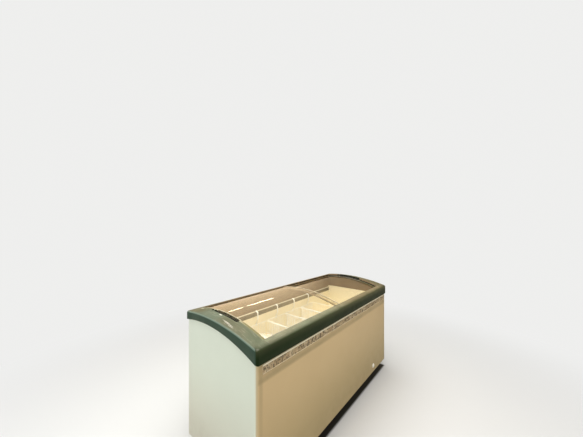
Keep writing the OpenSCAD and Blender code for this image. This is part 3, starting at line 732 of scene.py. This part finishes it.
def tube(bm, points, radius, sides=8, closed=False):
    """A round wire through points, carried along without twist."""
    count = len(points)
    rings = []
    side = (points[1] - points[0]).normalized().orthogonal().normalized()
    for i, p in enumerate(points):
        if closed:
            ahead, behind = points[(i + 1) % count], points[i - 1]
        else:
            ahead, behind = points[min(i + 1, count - 1)], points[max(i - 1, 0)]
        along = (ahead - behind).normalized()
        side = (side - along * side.dot(along)).normalized()
        up = along.cross(side)
        rings.append([bm.verts.new(p + radius * (math.cos(a) * side + math.sin(a) * up))
                      for a in (2 * math.pi * k / sides for k in range(sides))])
    pairs = list(zip(rings, rings[1:])) + ([(rings[-1], rings[0])] if closed else [])
    for a, b in pairs:
        shift = 0
        if a is rings[-1]:
            gaps = [(a[0].co - v.co).length for v in b]
            shift = gaps.index(min(gaps))
        for k in range(sides):
            j = (k + 1) % sides
            f = bm.faces.new((a[k], a[j], b[(j + shift) % sides], b[(k + shift) % sides]))
            f.smooth = True
    if not closed:
        bm.faces.new(list(reversed(rings[0])))
        bm.faces.new(rings[-1])


def strap(bm, points, width, half_thick):
    """A flat strap with rounded edges, as wide as given along X, that follows points in a Y-Z plane."""
    r = half_thick * 0.9
    loops = []
    for i, p in enumerate(points):
        ahead = (points[min(i + 1, len(points) - 1)] - points[max(i - 1, 0)]).normalized()
        out = Vector((0, -ahead.z, ahead.y))
        ring = []
        for sx, sn in ((-1, -1), (1, -1), (1, 1), (-1, 1)):
            for k in range(3):
                u, v = math.cos(math.pi / 4 * k), math.sin(math.pi / 4 * k)
                if sx * sn < 0:
                    u, v = v, u
                across = Vector((sx * (width / 2 - r + r * u), 0, 0))
                ring.append(p + across + out * sn * (half_thick - r + r * v))
        loops.append(ring)
    skin(bm, loops)


def lathe(bm, profile, place, axis, steps=64):
    """A profile of (radius, height) points in millimetres, turned about an axis through a place."""
    turn = Vector((0, 0, 1)).rotation_difference(Vector(axis)).to_matrix()
    rows = []
    for r, h in [(r * MM, h * MM) for r, h in profile]:
        angles = [2 * math.pi * k / steps for k in range(steps)] if r > 1e-9 else [0]
        rows.append([bm.verts.new(Vector(place) + turn @ Vector((r * math.cos(a), r * math.sin(a), h)))
                     for a in angles])
    for a, b in zip(rows, rows[1:]):
        for k in range(steps):
            j = (k + 1) % steps
            if len(a) == 1:
                bm.faces.new((a[0], b[j], b[k]))
            elif len(b) == 1:
                bm.faces.new((a[k], a[j], b[0]))
            else:
                bm.faces.new((a[k], a[j], b[j], b[k]))


# Top frame

FOOT_ROUND = 2 * MM
RIM_ROUND = 1.6 * MM
SEAM = 0.35 * MM
EDGE_STEPS = 14


def rail_ring(side):
    """A rail seen along X, with both tracks and softened edges."""
    y_in, y_out = side * WELL_Y, side * HALF_W
    z_in, z_edge = crown_at(y_in), edge_at(y_out)
    slope = math.atan((z_in - z_edge) / (HALF_W - WELL_Y - EDGE_ROUND))
    y_c, z_c = y_out - side * EDGE_ROUND, z_edge - EDGE_ROUND
    z_foot = arch_z(UNDER_R, y_out)
    y_skin = side * (BODY_Y + SEAT)
    y_skirt = side * (WELL_Y + SKIRT_T - SEAT)
    ring = [(y_skin, z_foot)]
    ring += fillet(FOOT_ROUND, (y_skin, z_foot), (y_out, z_foot), (y_out, z_c))
    for i in range(EDGE_STEPS + 1):
        a = (math.pi / 2 - slope) * i / EDGE_STEPS
        ring.append((y_c + side * EDGE_ROUND * math.cos(a), z_c + EDGE_ROUND * math.sin(a)))
    ring += fillet(RIM_ROUND, ring[-1], (y_in, z_in), (y_in, z_in - 10 * MM))
    y_track = side * TRACK_Y
    half = TRIM_T / 2 + PLAY
    for r in (UPPER_R, LOWER_R):
        for radius, rows in ((r + half, (y_in, y_track)), (r - half, (y_track, y_in))):
            ring += [(y, arch_z(radius, y)) for y in rows]
    ring += fillet(RIM_ROUND, (y_in, z_in - 40 * MM), (y_in, LEDGE_Z), (y_skirt, LEDGE_Z))
    ring.append((y_skirt, LEDGE_Z))
    ring += [(y, arch_z(CORE_R + SEAT, y)) for y in (y_skirt, y_skin)]
    return ring


def build_rail(name, side):
    bm = bmesh.new()
    extrude_x(bm, rail_ring(side), -WELL_X, WELL_X, SEAM)
    add_piece(name + "_moulded", bm, "frame_plastic", [name], 32)


CAP_SIDE_STEPS = 36
CAP_CORNER_STEPS = 8
CAP_LAST = CAP_SIDE_STEPS + 2 * CAP_CORNER_STEPS + 2
CAP_FINE = 4


def cap_station(u):
    """Place on the cap's outline and direction inwards, for u from 0 to CAP_LAST."""
    cx, cy = -HALF_L + CORNER_R, HALF_W - CORNER_R
    first, last = 1 + CAP_CORNER_STEPS, CAP_LAST - 1 - CAP_CORNER_STEPS
    if u <= 1:
        return (-WELL_X + (cx + WELL_X) * u, -HALF_W), (0, 1)
    if u >= CAP_LAST - 1:
        return (-WELL_X + (cx + WELL_X) * (CAP_LAST - u), HALF_W), (0, -1)
    if first < u < last:
        return (-HALF_L, -cy + 2 * cy * (u - first) / CAP_SIDE_STEPS), (1, 0)
    if u <= first:
        a = math.radians(270 - 90 * (u - 1) / CAP_CORNER_STEPS)
        cy = -cy
    else:
        a = math.radians(180 - 90 * (u - last) / CAP_CORNER_STEPS)
    return (cx + CORNER_R * math.cos(a), cy + CORNER_R * math.sin(a)), (-math.cos(a), -math.sin(a))


def cap_section(u):
    """One closed section of the cap, from its outer foot over the rounded edge to the well."""
    (sx, sy), (dx, dy) = cap_station(u)
    qx, qy = -WELL_X, -WELL_Y + 2 * WELL_Y * u / CAP_LAST
    z_edge, z_crown = edge_at(sy), crown_at(qy)
    gap = math.hypot(qx - sx, qy - sy)
    ux, uy = (qx - sx) / gap, (qy - sy) / gap
    slope = math.atan((z_crown - z_edge) / (gap - EDGE_ROUND))
    z_foot = arch_z(UNDER_R, sy)
    wall = HALF_W - BODY_Y - SEAT
    wx, wy = sx + dx * wall, sy + dy * wall
    if abs(dx) > 1e-6 and abs(dy) > 1e-6:
        wx = -BODY_X + BODY_CORNER_R - dx * (BODY_CORNER_R + SEAT)
        wy = math.copysign(BODY_Y - BODY_CORNER_R, sy) - dy * (BODY_CORNER_R + SEAT)
    outer = []
    for i in range(5):
        a = math.radians(90 * i / 4)
        outer.append((FOOT_ROUND * (1 - math.sin(a)), z_foot + FOOT_ROUND * (1 - math.cos(a))))
    for i in range(EDGE_STEPS + 1):
        a = math.pi - (math.pi / 2 - slope) * i / EDGE_STEPS
        outer.append((EDGE_ROUND * (1 + math.cos(a)), z_edge - EDGE_ROUND + EDGE_ROUND * math.sin(a)))
    ring = [(wx, wy, z_foot)] + [(sx + dx * reach, sy + dy * reach, z) for reach, z in outer]
    top = ring[-1]
    flat = math.hypot(qx - top[0], qy - top[1])
    back = ((top[0] - qx) / flat, (top[1] - qy) / flat)
    for k in (0.25, 0.5, 0.75):
        ring.append(tuple(a + (b - a) * k for a, b in zip(top, (qx, qy, z_crown))))
    for reach, z in fillet(RIM_ROUND, (flat, top[2]), (0, z_crown), (0, z_crown - 50 * MM)):
        ring.append((qx + back[0] * reach, qy + back[1] * reach, z))
    for reach, z in fillet(RIM_ROUND, (0, z_crown - 20 * MM), (0, END_RIM_Z), (20 * MM, END_RIM_Z)):
        ring.append((qx - ux * reach, qy - uy * reach, z))
    skirt = SKIRT_T - SEAT
    kx, ky = qx - ux * skirt, qy - uy * skirt
    ring.append((kx, ky, END_RIM_Z))
    ring += [(x, y, arch_z(CORE_R + SEAT, y)) for x, y in ((kx, ky), (wx, wy))]
    return ring


def cap_end(u):
    """The cap's end face at a seam, a little smaller than its section there."""
    return [(-WELL_X, y, z) for y, z in inset_ring([(p[1], p[2]) for p in cap_section(u)], SEAM)]


SLOT_STEPS = 44
NOTCH_FLARE = 0.5 * MM
SLOT_MARGIN = 0.3 * MM


def slot_outline(y, length, grow):
    """The closed side of a rounded slot in the cap's inner edge, as X-Y points."""
    w, r = NOTCH_W + grow, NOTCH_R + grow
    half = length / 2 + grow
    x = -WELL_X - w + r
    front, back = [], []
    for i in range(9):
        a = math.radians(270 - 90 * i / 8)
        front.append((x + r * math.cos(a), y - half + r + r * math.sin(a)))
        a = math.radians(180 - 90 * i / 8)
        back.append((x + r * math.cos(a), y + half - r + r * math.sin(a)))
    a, b = front[-1], back[0]
    straight = [(a[0], a[1] + (b[1] - a[1]) * i / SLOT_STEPS) for i in range(1, SLOT_STEPS)]
    return front + straight + back


def cap_surface(x, y):
    """Height of the cap's sloping top near its inner edge."""
    fall = (crown_at(y) - edge_at(y)) / (HALF_L - WELL_X - EDGE_ROUND)
    return crown_at(y) - fall * max(0, -WELL_X - x)


def slot_floor(y):
    return arch_z(CROWN_R - NOTCH_DEPTH, y)


def slot_cutter(bm, y, length):
    """A slot's space, in strips across the slot so that its floor follows the crown."""
    open_x = -WELL_X + 20 * MM
    levels = []
    for grow, lift in ((0, None), (0, -NOTCH_FLARE), (NOTCH_FLARE, 0), (NOTCH_FLARE, 30 * MM)):
        inner, outer = [], []
        for x, py in slot_outline(y, length, grow):
            floor = slot_floor(py)
            inner.append(bm.verts.new((x, py, floor if lift is None else cap_surface(x, py) + lift)))
            outer.append(bm.verts.new((open_x, py, floor if lift is None else crown_at(py) + lift)))
        levels.append((inner, outer))
    for (a_in, a_out), (b_in, b_out) in zip(levels, levels[1:]):
        for k in range(len(a_in) - 1):
            bm.faces.new((a_in[k], a_in[k + 1], b_in[k + 1], b_in[k]))
            bm.faces.new((a_out[k], a_out[k + 1], b_out[k + 1], b_out[k]))
        for k in (0, -1):
            bm.faces.new((a_in[k], a_out[k], b_out[k], b_in[k]))
    for inner, outer in (levels[0], levels[-1]):
        for k in range(len(inner) - 1):
            bm.faces.new((inner[k], inner[k + 1], outer[k + 1], outer[k]))


def in_recess(point):
    """Whether a point lies inside the finger notch or the lock pocket, below their mouths."""
    x, y, z = abs(point.x), point.y, point.z
    if not WELL_X + 0.2 * MM < x < WELL_X + NOTCH_W + 0.2 * MM:
        return False
    if not slot_floor(y) - SLOT_MARGIN < z < cap_surface(-x, y) - NOTCH_FLARE:
        return False
    return any(abs(y - mid) < length / 2 + SLOT_MARGIN for mid, length in SLOTS)


def cut_mesh(bm, cutter):
    """What is left of one closed mesh outside another; both are used up."""
    turn_outwards(bm)
    turn_outwards(cutter)
    shell, knife = mesh_object("cap_body", bm), mesh_object("cap_cutter", cutter)
    op = shell.modifiers.new("notch", "BOOLEAN")
    op.operation = "DIFFERENCE"
    op.solver = "EXACT"
    op.object = knife
    seen = shell.evaluated_get(bpy.context.evaluated_depsgraph_get())
    made = bmesh.new()
    made.from_mesh(seen.to_mesh())
    seen.to_mesh_clear()
    for obj in (shell, knife):
        mesh = obj.data
        bpy.data.objects.remove(obj)
        bpy.data.meshes.remove(mesh)
    return made


def build_cap(name, side):
    """The left cap, lofted and notched, and mirrored where it is the right one."""
    bm = bmesh.new()
    shift = SEAM / (HALF_L - CORNER_R - WELL_X)
    stations = [shift] + [i / CAP_FINE for i in range(1, CAP_LAST * CAP_FINE)] + [CAP_LAST - shift]
    skin(bm, [cap_end(0)] + [cap_section(u) for u in stations] + [cap_end(CAP_LAST)])
    bmesh.ops.triangulate(bm, faces=[f for f in bm.faces if len(f.verts) == 4])
    cutter = bmesh.new()
    for y, length in SLOTS:
        slot_cutter(cutter, y, length)
    made = cut_mesh(bm, cutter)
    if side > 0:
        bmesh.ops.scale(made, vec=(-1, 1, 1), verts=made.verts)
        bmesh.ops.reverse_faces(made, faces=made.faces)
    for f in made.faces:
        # Faces inside the notch and lock pocket get the near-black recess material as painted shade.
        f.material_index = 1 if in_recess(f.calc_center_median()) else 0
    cap = add_piece(name + "_moulded", made, "frame_plastic", [name])
    cap.data.materials.append(MATERIALS["frame_recess"])


# Lids

SEAL_DROP = 15 * MM
SEAL_H = 9.6 * MM
SEAL_ROUND = 1 * MM

# Step down into the grip: run in millimetres and share of its depth
GRIP_STEP = ((1.6, 0), (0.6, 0.12), (0.3, 0.5), (0, 0.94), (-0.6, 1))


def along_arch(bm, radius, reach, steps, section):
    """A bar that follows the arch from front to back, with a section of (X, rise) points at each depth."""
    loops = []
    for i in range(steps + 1):
        y = -reach + 2 * reach * i / steps
        angle = math.asin((y - ARCH_BACK) / radius)
        loops.append([on_arch(x, radius + rise, angle) for x, rise in section(y)])
    skin(bm, loops)


def arc_bar(bm, x0, x1, radius, reach, thick, corner):
    """A bar along the arch with rounded edges."""
    box = rounded_box(x0, x1, thick, corner)
    along_arch(bm, radius, reach, 48, lambda y: box)


def grip_section(y):
    """The outer trim's section at a depth: a rounded bar with a grip sunk into its outer edge."""
    half = TRIM_T / 2
    blend = min(1, max(0, min(y - GRIP_FRONT, GRIP_BACK - y) / GRIP_FADE))
    sink = GRIP_DEPTH * blend * blend * (3 - 2 * blend)
    top, foot, inner_foot, inner_top = (0, half), (0, -half), (OUTER_TRIM, -half), (OUTER_TRIM, half)
    ring = fillet(TRIM_ROUND, top, foot, inner_foot, inner_top, top)
    for run, share in GRIP_STEP:
        ring.append((GRIP_W - TRIM_ROUND + run * MM, half - sink * share))
    return ring + [(x, rise - sink) for x, rise in fillet(TRIM_ROUND, inner_top, top, foot)]


def grip_bar(bm, side, radius):
    """The outer trim of a lid, whose sunk faces get the second material, near black as painted shade."""
    along_arch(bm, radius, TRIM_REACH, 120,
               lambda y: [(side * (LID_X - x), rise) for x, rise in grip_section(y)])
    for f in bm.faces:
        mid = f.calc_center_median()
        sunk = (GRIP_FRONT + 2 * MM < mid.y < GRIP_BACK - 2 * MM
                and abs(mid.x) > LID_X - GRIP_W + TRIM_ROUND - 0.8 * MM)
        f.material_index = 1 if sunk and len(f.verts) == 4 else 0


def runner_bar(bm, x0, x1, radius, y0, y1):
    """A straight bar along X whose section lies along the arch."""
    y_mid = (y0 + y1) / 2
    z_mid = arch_z(radius, y_mid)
    a = math.asin((y_mid - ARCH_BACK) / radius)
    half = (y1 - y0) / 2 / math.cos(a) - TRIM_T / 2 * math.tan(abs(a))
    ring = [(y_mid + u * math.cos(a) + v * math.sin(a), z_mid - u * math.sin(a) + v * math.cos(a))
            for u, v in rounded_box(-half, half, TRIM_T, RUNNER_ROUND)]
    extrude_x(bm, ring, x0, x1, 0.8 * MM)


def build_lid(lid, side):
    radius = UPPER_R if side < 0 else LOWER_R
    ends = sorted((side * LID_X, -side * LID_MID))
    inner = sorted((-side * LID_MID, -side * (LID_MID - INNER_TRIM)))
    bm = bmesh.new()
    grip_bar(bm, side, radius)
    trim = add_piece(f"{lid}_outer_trim_profile", bm, "lid_trim", [f"{lid}_outer_trim"], body=lid)
    trim.data.materials.append(MATERIALS["frame_recess"])
    bm = bmesh.new()
    arc_bar(bm, *inner, radius, TRIM_REACH, TRIM_T, TRIM_ROUND)
    add_piece(f"{lid}_inner_trim_profile", bm, "lid_joint_trim", [f"{lid}_inner_trim"], body=lid)
    for part, span in (("front_runner", (-RUNNER_OUT, -RUNNER_IN)), ("rear_runner", (RUNNER_IN, RUNNER_OUT))):
        bm = bmesh.new()
        runner_bar(bm, *ends, radius, *span)
        add_piece(f"{lid}_{part}_profile", bm, "lid_trim", [f"{lid}_{part}"], body=lid)


def build_seal_lips():
    """A black lip on each cap's inner wall that closes the gap under the lids' ends."""
    bm = bmesh.new()
    near, far = LID_X + 0.6 * MM, WELL_X + 1 * MM
    for x0, x1 in ((-far, -near), (near, far)):
        arc_bar(bm, x0, x1, CROWN_R - SEAL_DROP, WELL_Y - 6 * MM, SEAL_H, SEAL_ROUND)
    add_piece("seal_lips", bm, "black_plastic")


# Ticket strip

STRIP_X = 795.5 * MM
STRIP_H = 45 * MM
STRIP_TOP = arch_z(UNDER_R, -HALF_W) - 6 * MM
STRIP_LIP = 5 * MM
STRIP_BACK_T = 1.5 * MM
STRIP_EDGE = 3 * MM
STRIP_BRIM = 7 * MM
STRIP_ROUND = 1.2 * MM
CARD_GAP = 1 * MM
CARD_LEAST = 8 * MM


def build_ticket_strip():
    """A pale channel with two rolled edges that holds a row of blank cards."""
    back = -BODY_Y
    low, top = STRIP_TOP - STRIP_H, STRIP_TOP
    front, plate = back - STRIP_LIP, back - STRIP_BACK_T
    sill, brim = low + STRIP_EDGE, top - STRIP_BRIM
    ring = [(back, low + 0.2 * MM)]
    ring += fillet(STRIP_ROUND, (back, low), (front, low), (front, sill), (plate, sill))
    ring += [(plate, sill), (plate, brim)]
    ring += fillet(STRIP_ROUND, (plate, brim), (front, brim), (front, top), (back, top))
    ring.append((back, top - 0.2 * MM))
    bm = bmesh.new()
    extrude_x(bm, ring, -STRIP_X, STRIP_X, 0.4 * MM)
    add_piece("ticket_channel", bm, "ticket_strip", ["ticket_strip"], 35)

    bm = bmesh.new()
    cards = math.ceil(STRIP_X / CARD_PITCH)
    for i in range(2 * cards):
        start = (i - cards) * CARD_PITCH
        x0 = max(start + CARD_GAP / 2, -STRIP_X + CARD_GAP)
        x1 = min(start + CARD_PITCH - CARD_GAP / 2, STRIP_X - CARD_GAP)
        if x1 - x0 < CARD_LEAST:
            continue
        face = plate - (0.45 + 0.05 * (i * 37 % 10)) * MM
        z0, z1 = sill + 0.1 * MM, brim - 0.1 * MM
        extrude_x(bm, [(plate, z0), (face, z0), (face, z1), (plate, z1)], x0, x1, 0.1 * MM)
    add_piece("ticket_cards", bm, "ticket_insert", ["ticket_insert"], 35)


# Small round parts, with their profiles as radius and height in millimetres

def mirrored(half):
    """A closed profile from the half of it below its middle."""
    return (*half, *((r, -h) for r, h in reversed(half)), half[0])


PLUG_PLACE = (534 * MM, -BODY_Y, GROUND + 53 * MM)
PLUG = ((0, 0), (19, 0), (19, 1.2), (18.6, 2.2), (17.6, 2.9), (16, 3), (14.6, 2.6), (13.4, 1.9),
        (11.2, 1.7), (10.2, 2.2), (9.5, 3.6), (9.4, 6.4), (9, 7.2), (8, 7.5), (0, 7.5))
PLUG_GRIP = ((-1.4, 0), (1.4, 0), (1.2, 1), (0.5, 1.4), (-0.5, 1.4), (-1.2, 1))
FASTENER_PLACE = (BODY_X, -293 * MM, GROUND + 201 * MM)
FASTENER = ((0, 0), (5, 0), (5, 1.8), (4.6, 2.6), (3.8, 3), (2.6, 3), (2.4, 2.2), (0, 2.2))
CASTOR_X = BODY_X - 95 * MM
CASTOR_Y = BODY_Y - 75 * MM
CASTOR_TRAIL = 14 * MM
WHEEL_R = 25
TREAD = mirrored(((17, -8.6), (20.5, -9.4), (22.6, -9.8), (24, -9), (24.8, -7), (WHEEL_R, -3)))
HUB = mirrored(((3.2, -9.9), (6.6, -9.9), (7.2, -9), (7.6, -6.2), (15, -5.4), (16, -8.4), (17.1, -8.8)))


def build_drain_plug():
    """A turned plug with a raised middle and two thumb grips beside it."""
    bm = bmesh.new()
    lathe(bm, PLUG, PLUG_PLACE, (0, -1, 0))
    px, py, pz = PLUG_PLACE
    for side in (-1, 1):
        loops = []
        for x, top, scale in ((8.8, 7, 1), (13, 5.2, 0.95), (15.2, 3.2, 0.75)):
            loops.append([(px + side * x * MM, py - (h + top - 1.4 if h else 1.6) * MM, pz + z * scale * MM)
                          for z, h in PLUG_GRIP])
        skin(bm, loops)
    add_piece("drain_plug_cap", bm, "white_plastic", ["drain_plug"], 42)


def build_fastener():
    bm = bmesh.new()
    lathe(bm, FASTENER, FASTENER_PLACE, (1, 0, 0), 40)
    add_piece("quarter_turn", bm, "black_plastic", ["grille_fastener"], 42)


def build_castor_wheels():
    """Black tyres on grey hubs, turned true, each with a groove beside the tread."""
    tyre, hub = bmesh.new(), bmesh.new()
    for sx in (-1, 1):
        for sy in (-1, 1):
            place = (sx * CASTOR_X, sy * (CASTOR_Y - CASTOR_TRAIL), WHEEL_R * MM)
            lathe(tyre, TREAD, place, (1, 0, 0))
            lathe(hub, HUB, place, (1, 0, 0))
    add_piece("castor_tyres", tyre, "castor_tyre", ["castor_wheels"])
    add_piece("castor_hubs", hub, "grille_plastic")


# Wire baskets

RIM_R = 2.4 * MM
FOOT_R = 1.8 * MM
WIRE_R = 1.25 * MM
HOOK_R = 1.1 * MM
HOOK_W = 14 * MM
HOOK_REACH = 17 * MM
LIP_TOP = 699 * MM
LIP_OUT = 265 * MM
LIP_GAP = 0.3 * MM
BASKET_TOP = 597 * MM
BASKET_Y = 262.7 * MM
BASKET_BEND = 14 * MM
WIRE_BEND = 6 * MM
UPRIGHTS_LONG = 26
UPRIGHTS_SHORT = 10


def basket_hook(bm, x, side):
    """A flat hook that leans in from the basket's rim and curls out over the ledge strip's lip."""
    y_in = side * (BASKET_Y - HOOK_R)
    y_tip = side * (LIP_OUT + LIP_GAP + HOOK_R)
    y_stem = y_in - side * HOOK_REACH
    z_top = LIP_TOP + LIP_GAP + HOOK_R
    path = [(y_in, BASKET_TOP - 12 * MM), (y_in, BASKET_TOP + 6 * MM), (y_stem, BASKET_TOP + 40 * MM),
            (y_stem, z_top - 12 * MM), (y_in, z_top), (y_tip, z_top), (y_tip, z_top - 2.2 * MM)]
    strap(bm, bent_path([(x, y, z) for y, z in path], 1.4 * MM), HOOK_W, HOOK_R)


def wire_basket(index):
    """Rim, foot and middle rings with U-shaped wires both ways, and a hook at each end."""
    node = f"basket_{index}"
    low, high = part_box(node)
    x0, x1 = low.x, high.x
    bm = bmesh.new()
    ring_x0, ring_x1, ring_y = x0 + RIM_R, x1 - RIM_R, BASKET_Y - RIM_R
    for z, r in ((BASKET_TOP - RIM_R, RIM_R), (low.z + 100 * MM, WIRE_R), (low.z + 50 * MM, WIRE_R),
                 (low.z + WIRE_R + 2.6 * MM, FOOT_R)):
        ring = [(ring_x0, -ring_y, z), (ring_x1, -ring_y, z), (ring_x1, ring_y, z), (ring_x0, ring_y, z)]
        tube(bm, bent_path(ring, BASKET_BEND, closed=True, steps=6), r, 10, closed=True)
    inset = RIM_R * 2 + WIRE_R
    foot = low.z + WIRE_R
    top = BASKET_TOP - RIM_R + 1.4 * MM

    def upright_wire(points):
        tube(bm, bent_path(points, WIRE_BEND), WIRE_R)

    a, b = x0 + inset, x1 - inset
    for k in range(UPRIGHTS_LONG):
        y = -BASKET_Y + BASKET_BEND + 2 * (BASKET_Y - BASKET_BEND) * (k + 0.5) / UPRIGHTS_LONG
        upright_wire([(a, y, top), (a, y, foot), (b, y, foot), (b, y, top)])
    foot += 2 * WIRE_R
    a, b = -BASKET_Y + inset, BASKET_Y - inset
    for k in range(UPRIGHTS_SHORT):
        x = x0 + BASKET_BEND + (x1 - x0 - 2 * BASKET_BEND) * (k + 0.5) / UPRIGHTS_SHORT
        upright_wire([(x, a, top), (x, a, foot), (x, b, foot), (x, b, top)])
    for side in (-1, 1):
        basket_hook(bm, (x0 + x1) / 2, side)
    add_piece(f"wire_basket_{index}", bm, "basket_wire", [node], angle=None)


# Stage and light

PALE = (0.86, 0.86, 0.85)
FLOOR_SEEN = (0.645, 0.655, 0.665)
FLOOR_BOUNCE = (0.48, 0.44, 0.36)
FLOOR_PAINTED_SHADOW = (0.015, 0.015, 0.015)
WORLD_SOFT = (1, 0.98, 0.94)

# The room that gloss and glass mirror, from the horizon up
MIRRORED = (
    (0, (0.9, 0.7, 0.5)),
    (0.04, (1.58, 1.19, 0.78)),
    (0.1, (1.48, 1.11, 0.71)),
    (0.17, (1.3, 0.98, 0.6)),
    (0.42, (1.26, 0.97, 0.6)),
    (1, (0.76, 0.68, 0.54)),
)


def make_world():
    """Soft light for surfaces; gloss mirrors a warm room, and the camera sees a pale studio."""
    world = bpy.data.worlds.new("studio")
    bpy.context.scene.world = world
    w = Tree(world, "ShaderNodeOutputWorld", "Generated")
    x, _, z = w.axes()
    ramp = w.node("ShaderNodeValToRGB", Fac=z)
    stops = ramp.color_ramp.elements
    for stop, (place, color) in zip(stops, (MIRRORED[0], MIRRORED[-1])):
        stop.position = place
        stop.color = (*color, 1)
    for place, color in MIRRORED[1:-1]:
        stops.new(place).color = (*color, 1)
    dim = w.times(w.span(x, 0.62, 0.74, 0.97, 0.75, False), w.span(x, 0.75, 0.83, 1, 0.32, False))
    room = w.node("ShaderNodeBackground", Color=ramp.outputs[0], Strength=dim).outputs[0]
    soft = w.node("ShaderNodeBackground", Color=WORLD_SOFT, Strength=0.6).outputs[0]
    plain = w.node("ShaderNodeBackground", Color=PALE).outputs[0]
    path = w.nodes.new("ShaderNodeLightPath").outputs
    through = path["Is Transmission Ray"]
    mirrors = w.join(w.math("MAXIMUM", path["Is Glossy Ray"], through), soft, room)
    straight = w.times(through, w.rest(w.math("GREATER_THAN", z, 0.03)))
    w.put(w.out, w.join(w.math("MAXIMUM", path["Is Camera Ray"], straight), mirrors, plain))


def make_floor():
    """Pale floor that keeps the shadow near the object, with a painted shadow under the cabinet, and fades
    into the backdrop's colour.
    """
    bm = bmesh.new()
    bmesh.ops.create_grid(bm, x_segments=8, y_segments=8, size=60)
    floor = mesh_object("floor", bm)
    t = new_material("floor")
    x, y, _ = t.axes()
    path = t.nodes.new("ShaderNodeLightPath").outputs
    seen = t.math("MAXIMUM", path["Is Camera Ray"], path["Is Transmission Ray"])
    # Painted shadow: the floor under the cabinet near black.
    under = t.within(BODY_X, BODY_Y, 8 * MM, -12 * MM)
    shade = t.mix(under, t.mix(seen, FLOOR_BOUNCE, FLOOR_SEEN), FLOOR_PAINTED_SHADOW)
    base = t.shader(shade, 0.75, t.bump(t.noise(40, 3), 0.03, 0.002))
    glow = t.node("ShaderNodeEmission", Color=PALE).outputs[0]
    fade = t.times(t.span(t.length(x, y), 1, 3), seen)
    t.put(t.out, t.join(fade, base, glow))
    floor.data.materials.append(MATERIALS["floor"])


def area(name, place, aim, size, watts, color, seen_in_mirrors=False):
    data = bpy.data.lights.new(name, "AREA")
    data.shape = "RECTANGLE"
    data.size, data.size_y = size
    data.energy = watts
    data.color = color
    obj = add_object(name, data)
    obj.location = place
    obj.rotation_euler = (Vector(aim) - Vector(place)).to_track_quat("-Z", "Y").to_euler()
    obj.visible_camera = False
    obj.visible_glossy = seen_in_mirrors


TUBE_Y = 3.76
TUBE_Z = 2.6
TUBE_W = 0.13
TUBE_WATTS = 4
TUBES = ((1.95, 2.4), (2.56, 3.52))


def make_lights():
    """Three soft lamps, and two tubes that the glass mirrors."""
    area("ceiling_glow", (-0.15, 0.1, 3), (-0.1, 0, 0.4), (3.2, 2.2), 98, (1, 0.97, 0.91))
    area("left_side", (-3.6, 0.9, 1.9), (-0.8, 0, 0.5), (2.6, 2.2), 46, (0.98, 1, 0.97))
    area("front_side", (-1.1, -3.7, 2), (-0.3, -0.3, 0.5), (3.2, 1.8), 24, (1, 0.94, 0.84))
    for i, (x0, x1) in enumerate(TUBES):
        mid = (x0 + x1) / 2
        area(f"tube_{i + 1}", (mid, TUBE_Y, TUBE_Z), (mid, TUBE_Y, 0), (x1 - x0, TUBE_W),
             TUBE_WATTS * (x1 - x0), (1, 0.9, 0.66), True)


# Build

make_camera()
make_floor()
make_world()
make_lights()
make_materials()
dress_nodes()
for end, side in (("front", -1), ("rear", 1)):
    build_rail(f"{end}_rail", side)
for end, side in (("left", -1), ("right", 1)):
    build_cap(f"{end}_end_cap", side)
for end, side in (("left", -1), ("right", 1)):
    build_lid(f"{end}_lid", side)
build_seal_lips()
build_ticket_strip()
build_drain_plug()
build_fastener()
build_castor_wheels()
for number in range(1, 6):
    wire_basket(number)

bpy.context.scene.view_settings.view_transform = "Standard"
